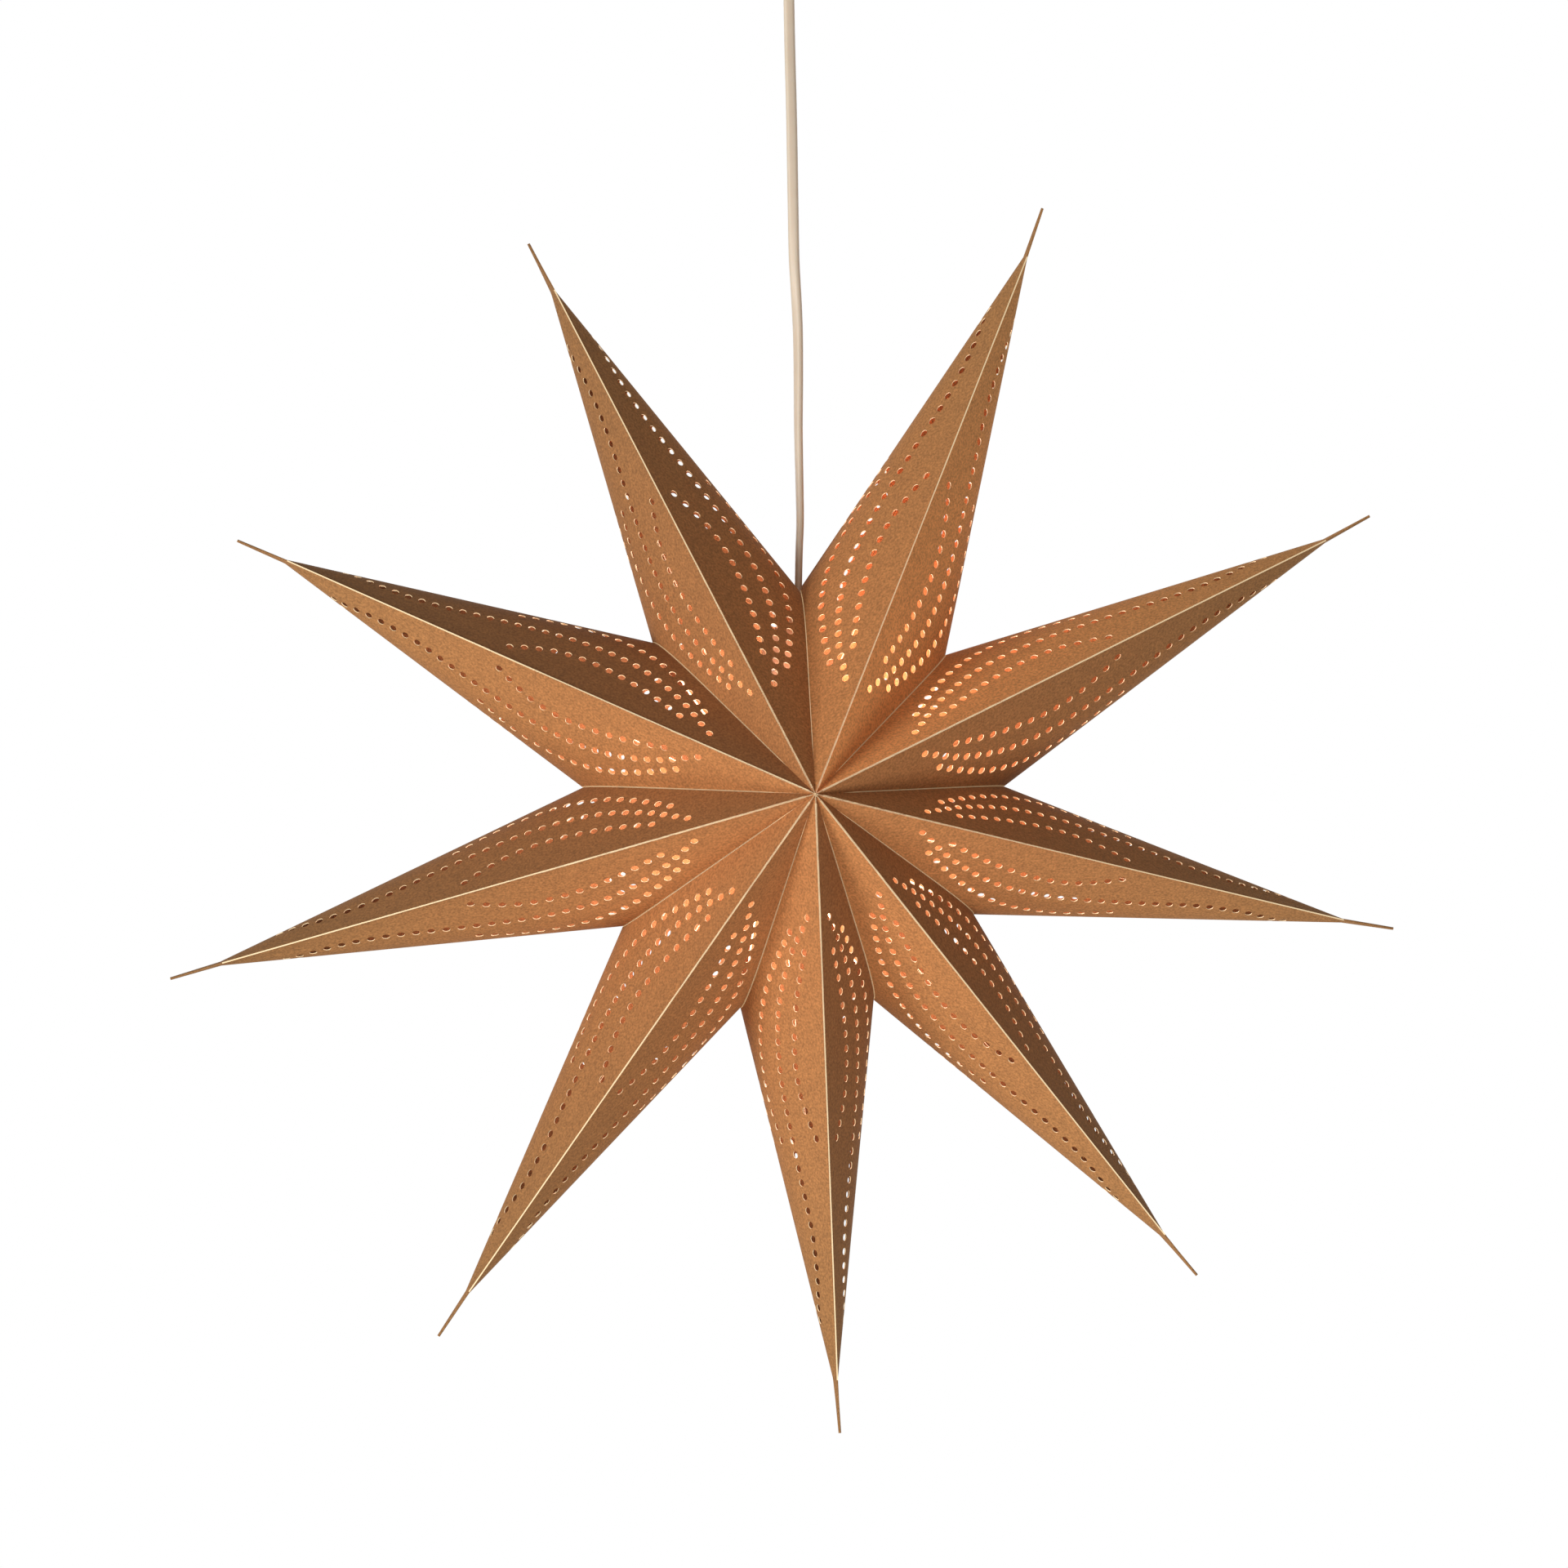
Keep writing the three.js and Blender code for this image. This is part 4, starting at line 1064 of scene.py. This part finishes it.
grip = spun("ball_grip", [
    (0, -48), (2.5, -48), (2.5, -56), (3.7, -56), (4.2, -55.5), (4.2, -54.2), (3.9, -53.9),
    (3.9, -53.5), (4.2, -53.2), (4.2, -48.7), (3.9, -48.4), (3.9, -48), (4.2, -47.7), (4.2, -43),
    *arc((0, -36), 7, -53, 90, 14)], Matrix())
squeeze_bore(grip, Vector((0, 0)), BORE_WIDE, BORE_NARROW)
cut(grip, drill(0.00125, 0.006, (0.0055, 0, GRIP_SCREW_LEVEL)))
smooth(grip)
dress(grip, "pendant", ["cord_grip"], "nylon_cream", nylon)
sideways = Matrix.Translation((0, 0, GRIP_SCREW_LEVEL)) @ Matrix.Rotation(math.pi / 2, 4, "Y")
grip_screw = slotted_screw("slotted_grip_screw", 1.1, 1.9, 2.75, 4.35, 5.55, sideways)
dress(grip_screw, "pendant", ["grip_screw"], "zinc_steel", zinc)

# %% [markdown]
# ## Lamp holder
#
# The small screw holder hangs under the closure: a domed cap with grip ribs, a skirt with thread
# rings for a shade and a ribbed collar, and a nylon nipple with soft rings that relieves the flex.

# %% Nipple, cap and skirt
in_lamp = Matrix.Translation(LAMP_CENTRE)
nipple = spun("ringed_nipple", [
    (2.5, 77), (3.2, 77), (3.2, 82.3), (4.4, 82.3), (4.4, 84), (3.9, 84.4), (3.9, 85), (4.2, 85.4),
    (4.2, 86.2), (3.7, 86.6), (3.7, 87.2), (3.9, 87.6), (3.9, 88.4), (3.5, 88.8), (3.5, 89.4),
    (3.6, 89.8), (3.3, 91), (2.5, 91), (2.5, 77)], in_lamp)
squeeze_bore(nipple, LAMP_CENTRE, BORE_NARROW, BORE_WIDE)
dress(nipple, "pendant", ["cord_nipple"], "nylon_cream", nylon)

holder_cap = spun("ribbed_holder_cap", [
    (15.4, 62), (16.7, 62), (17, 62.3), (17, 65), (17, 76), *arc((13, 78), 4, 0, 90),
    (4.6, 82), (4.4, 81.7), (3.5, 81.7), (3.5, 80.4), *arc((13, 78), 2.4, 90, 0), (15.4, 62)],
    in_lamp)
raise_ribs(holder_cap, 0.0645, 0.0765, 0.00025)
smooth(holder_cap)
dress(holder_cap, "pendant", ["holder_cap"], "holder_white", pbt_white)

shade_rings = []
for low in range(41, 56, 3):
    shade_rings += [(14, low), (14.45, low + 0.5), (14.45, low + 1.1), (14, low + 1.6)]
skirt = spun("threaded_holder_skirt", [
    (12.4, 36), (13.2, 36), (14, 37.6), *shade_rings, (14, 58.7), (15.4, 58.7), (15.4, 61.7),
    (14, 61.7), (14, 72), (12.4, 72), (12.4, 36)], in_lamp)
raise_ribs(skirt, 0.059, 0.0615, 0.0002)
smooth(skirt)
dress(skirt, "pendant", ["holder_skirt"], "holder_white", pbt_white)

# %% [markdown]
# ## Rolled screw threads
#
# The bulb's cap and the brass shell that it turns in have the same rolled thread, with 2.82 mm from
# turn to turn. One wave of the thread is drawn as a line, the Screw modifier sweeps it into a real
# helix, and its two ends are cut level.

# %% Bulb cap and screw shell
THREAD_PITCH = 2.82
THREAD_STEPS = 36
WAVE_STEPS = 8
ROLLED_SHEET = 0.0003


def rolled_thread(name, radius, depth, low, high):
    """An open helical thread in edit mode, its crests at the radius, between two levels."""
    turns = [2 * math.pi * k / WAVE_STEPS for k in range(WAVE_STEPS + 1)]
    wave = [(radius - depth / 2 + depth / 2 * math.cos(a), low - THREAD_PITCH
             + THREAD_PITCH * a / (2 * math.pi)) for a in turns]
    piece = drawn_line(name, wave)
    bpy.ops.object.mode_set(mode="OBJECT")
    apply_modifier(piece, "SCREW", axis="Z", angle=2 * math.pi, screw_offset=THREAD_PITCH / 1000,
                   iterations=math.ceil((high - low) / THREAD_PITCH) + 2, steps=THREAD_STEPS,
                   render_steps=THREAD_STEPS, use_merge_vertices=False)
    edit(piece)
    bpy.ops.mesh.select_all(action="SELECT")
    bpy.ops.mesh.remove_doubles(threshold=2 * SAME_PLACE)
    for level, sense in ((low, -1), (high, 1)):
        bpy.ops.mesh.select_all(action="SELECT")
        bpy.ops.mesh.bisect(plane_co=(0, 0, level / 1000), plane_no=(0, 0, sense), clear_outer=True,
                            threshold=SAME_PLACE / 10)
    return piece


def run_rim(piece, level, radius, new_level):
    """Runs the rim at one level on to a new radius and level."""
    def to_new_rim(place):
        scale = radius / 1000 / math.hypot(place.x, place.y)
        return place.x * scale, place.y * scale, new_level / 1000

    pick_rim(piece, lambda place: abs(place.z - level / 1000) < 10 * SAME_PLACE)
    extrude_to(piece, to_new_rim)


bulb_cap = rolled_thread("threaded_bulb_cap", 6.95, 0.45, 38.5, 52.2)
for rim in ((52.2, 6.2, 52.6), (38.5, 6.95, 38.1), (38.1, 6.95, 35.2), (35.2, 7.15, 34.6)):
    run_rim(bulb_cap, *rim)
close_up(bulb_cap, in_lamp)
shell = rolled_thread("threaded_screw_shell", 7.85, 0.25, 35.9, 56.2)
for rim in ((56.2, 7.7, 57.8), (57.8, 11.4, 57.8)):
    run_rim(shell, *rim)
close_up(shell, in_lamp)
for piece in (bulb_cap, shell):
    apply_modifier(piece, "SOLIDIFY", thickness=ROLLED_SHEET, offset=-1)
dress(bulb_cap, "bulb", ["bulb_cap"], "bulb_metal", aluminium)
dress(shell, "pendant", ["screw_shell"], "contact_brass", brass)
print("bulb cap and shell:", len(bulb_cap.data.polygons), len(shell.data.polygons), "faces")

# %% Glass bead, solder drop and stem of the bulb
bead = spun("glass_bead_insulator", [
    (0, 52.9), (6.1, 52.9), (6.45, 53.1), (6.2, 53.6), (5.4, 54.4), (4.4, 55.1), (3.6, 55.6),
    (0, 55.6)], in_lamp, 32)
dress(bead, "bulb", ["bulb_insulator"], "bulb_insulator", vitrite)
drop = spun("solder_drop", [
    (0, 55.9), (2.2, 55.9), (2.4, 56.1), (2.25, 56.5), (1.8, 56.8), (1.1, 56.95), (0, 57)],
    in_lamp, 24)
dress(drop, "bulb_tip", ["bulb_tip"], "bulb_metal", solder)
stem = spun("flared_glass_stem", [
    (0, -1.7), (1.2, -1.6), (1.6, -1.2), (1.6, 20), (1.9, 24), (2.9, 28), (4.6, 30.8), (7.1, 32.3),
    (7.1, 34.3), (0, 34.3)], in_lamp, 32)
dress(stem, "bulb", ["bulb_stem"], "stem_glass", stem_glass)

# %% Bulb glass
GLASS_WALL = 0.0008

glass = spun("opal_bulb_glass", [
    *arc((0, 1.5), 22.5, -90, 56, 22), (10.6, 22.4), (9.2, 25.4), (8.4, 29), (8.2, 32), (7.6, 33.8),
    (6.5, 35), (6.3, 38)], in_lamp, 64)
apply_modifier(glass, "SOLIDIFY", thickness=GLASS_WALL, offset=-1)
smooth(glass)
dress(glass, "bulb", ["bulb_glass"], "bulb_glass", opal)
# The lamp's light is a ball round the glass, and these two would throw a shadow from inside it
for see_through in (glass, stem):
    see_through.visible_shadow = False

# %% [markdown]
# ## Closure dots
#
# Two pairs of hook-and-loop dots close the slit, one pair in front and one behind. A dot is a woven
# disc with a raised pile, glued to a flap, so it tilts with the flap.

# %% Hook-and-loop dots
DOT_RADIUS = 0.0045
DOT_BASE = 0.00025
DOT_PILE = 0.0002
DOT_BARE_RIM = 0.0004
DOT_PILE_EDGE = 0.0002
DOT_PILE_RING = 0.0008
DOT_PILE_RINGS = 3
DOT_PROUD = 0.6  # share of the base by which the middle of a dot stands off its flap
DOT_DEPTH = 0.0445


def closure_dot(index, side, facing, kind):
    """The dot on one flap of point index + 1, in front (-1) or behind (1)."""
    start_clean()
    bpy.ops.mesh.primitive_cylinder_add(vertices=32, radius=DOT_RADIUS, depth=DOT_BASE)
    disc = bpy.context.object
    disc.name = f"{kind}_dot_{'front' if facing < 0 else 'back'}"
    edit(disc)
    pick(disc, "faces", lambda f: f.normal.z > 0.9)
    bpy.ops.mesh.inset(thickness=DOT_BARE_RIM)
    bpy.ops.mesh.inset(thickness=DOT_PILE_EDGE, depth=DOT_PILE)
    for _ in range(DOT_PILE_RINGS):
        bpy.ops.mesh.inset(thickness=DOT_PILE_RING)
    bpy.ops.object.mode_set(mode="OBJECT")
    half_angle, flap_angle = half_angles(index)[side]
    out = seam_corner * (1 - DOT_DEPTH / HALF_DEPTH)
    edge = Vector((out * math.cos(half_angle[1]), 0, side * out * math.sin(half_angle[1])))
    inner = Vector((math.cos(flap_angle), 0, side * math.sin(flap_angle))) * (out - flap_shift)
    along = (edge - inner).normalized()
    outward = Vector((-side * along.z, 0, side * along.x))
    centre = ((edge + inner) / 2 + outward * DOT_BASE * DOT_PROUD
              + Vector((0, facing * DOT_DEPTH, 0)))
    axes = Matrix((along, outward.cross(along), outward)).transposed().to_4x4()
    disc.data.transform(Matrix.Translation(centre) @ axes)
    place_on_star(disc, TIP_BEARINGS[index])
    smooth(disc)
    return disc


for facing, end in ((-1, "front"), (1, "back")):
    for index, side, kind in ((0, 1, "loop"), (8, -1, "hook")):
        disc = closure_dot(index, side, facing, kind)
        dress(disc, f"ray_{index + 1}", [f"closure_{kind}_{end}"], "closure_black", pile)
        squash_with_point(disc)
print("closure dots: 4")

# %% [markdown]
# ## The flex as a free cord
# ## The flex between the grip and the nipple
#
# The flex hangs taut between the grip and the nipple.

# %% [markdown]
# ## Light and room
#
# Two large soft lamps stand on the left in front and low in front, as in the photograph, and a weak
# even light fills the shaded sides. The background is pure white to the camera only, so that it
# throws no extra light on the card. The star's own lamp is a ball of light just outside the bulb's
# glass, because a light inside it would need the glass to let it through. It rides on the bulb, so
# that it stays inside the card when the lantern swings.

# %% Soft keys, light of the bulb, even fill, white background and floor
SOFT_KEYS = (  # name, direction seen from the hub, distance, watts and width of the disk
    ("soft_left_key", (-0.82, -0.57, 0), 2.2, 28, 0.9),
    ("soft_low_key", (0.21, -0.57, -0.79), 1.3, 5.3, 0.6))
BULB_CENTRE = Vector((0.0043, 0, -0.4485))
BULB_WATTS = 0.95
BULB_LIGHT_RADIUS = 0.0235
FLOOR_LEVEL = -1.8
FLOOR_SIZE = 3


def add_lamp(name, kind, place, energy, colour, **settings):
    """A lamp at its place, with its energy in watts."""
    data = bpy.data.lights.new(name, kind)
    data.energy = energy
    data.color = linear(colour)[:3]
    for key, value in settings.items():
        setattr(data, key, value)
    lamp = link_up(name, data)
    lamp.location = place
    return lamp


for name, direction, distance, energy, size in SOFT_KEYS:
    towards = Vector(direction).normalized()
    key = add_lamp(name, "AREA", HUB + distance * towards, energy, "fffaf2",
                   shape="DISK", size=size)
    key.rotation_euler = towards.to_track_quat("Z", "Y").to_euler()
lit_bulb = add_lamp("lit_bulb", "POINT", BULB_CENTRE, BULB_WATTS, "fff0f0",
                    shadow_soft_size=BULB_LIGHT_RADIUS)
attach(lit_bulb, "bulb")

world = bpy.data.worlds.new("white_room")
world.use_nodes = True
bpy.context.scene.world = world
tree = world.node_tree
tree.nodes.clear()
ray = add_node(tree, "LightPath")
seen = ray.outputs["Is Camera Ray"]
for other in ("Is Glossy Ray", "Is Transmission Ray"):
    seen = add_node(tree, "Math", {0: seen, 1: ray.outputs[other]}, operation="MAXIMUM").outputs[0]
fill = add_node(tree, "Background", {"Color": linear("fff3e4"), "Strength": 0.24})
white = add_node(tree, "Background", {"Color": (1, 1, 1, 1), "Strength": 1.0})
both = add_node(tree, "MixShader", {0: seen, 1: fill.outputs[0], 2: white.outputs[0]})
add_node(tree, "OutputWorld", {0: both.outputs[0]})

start_clean()
bpy.ops.mesh.primitive_plane_add(size=FLOOR_SIZE, location=(0, 0, FLOOR_LEVEL))
floor = bpy.context.object
floor.name = "pale_floor"
material, tree = new_material("floor_matt_white")
shader = add_node(tree, "BsdfPrincipled", {"Base Color": linear("f4f3f0"), "Roughness": 0.9})
add_node(tree, "OutputMaterial", {0: shader.outputs[0]})
floor.data.materials.append(material)

# %% Standard colour view of the render
bpy.context.scene.view_settings.view_transform = "Standard"
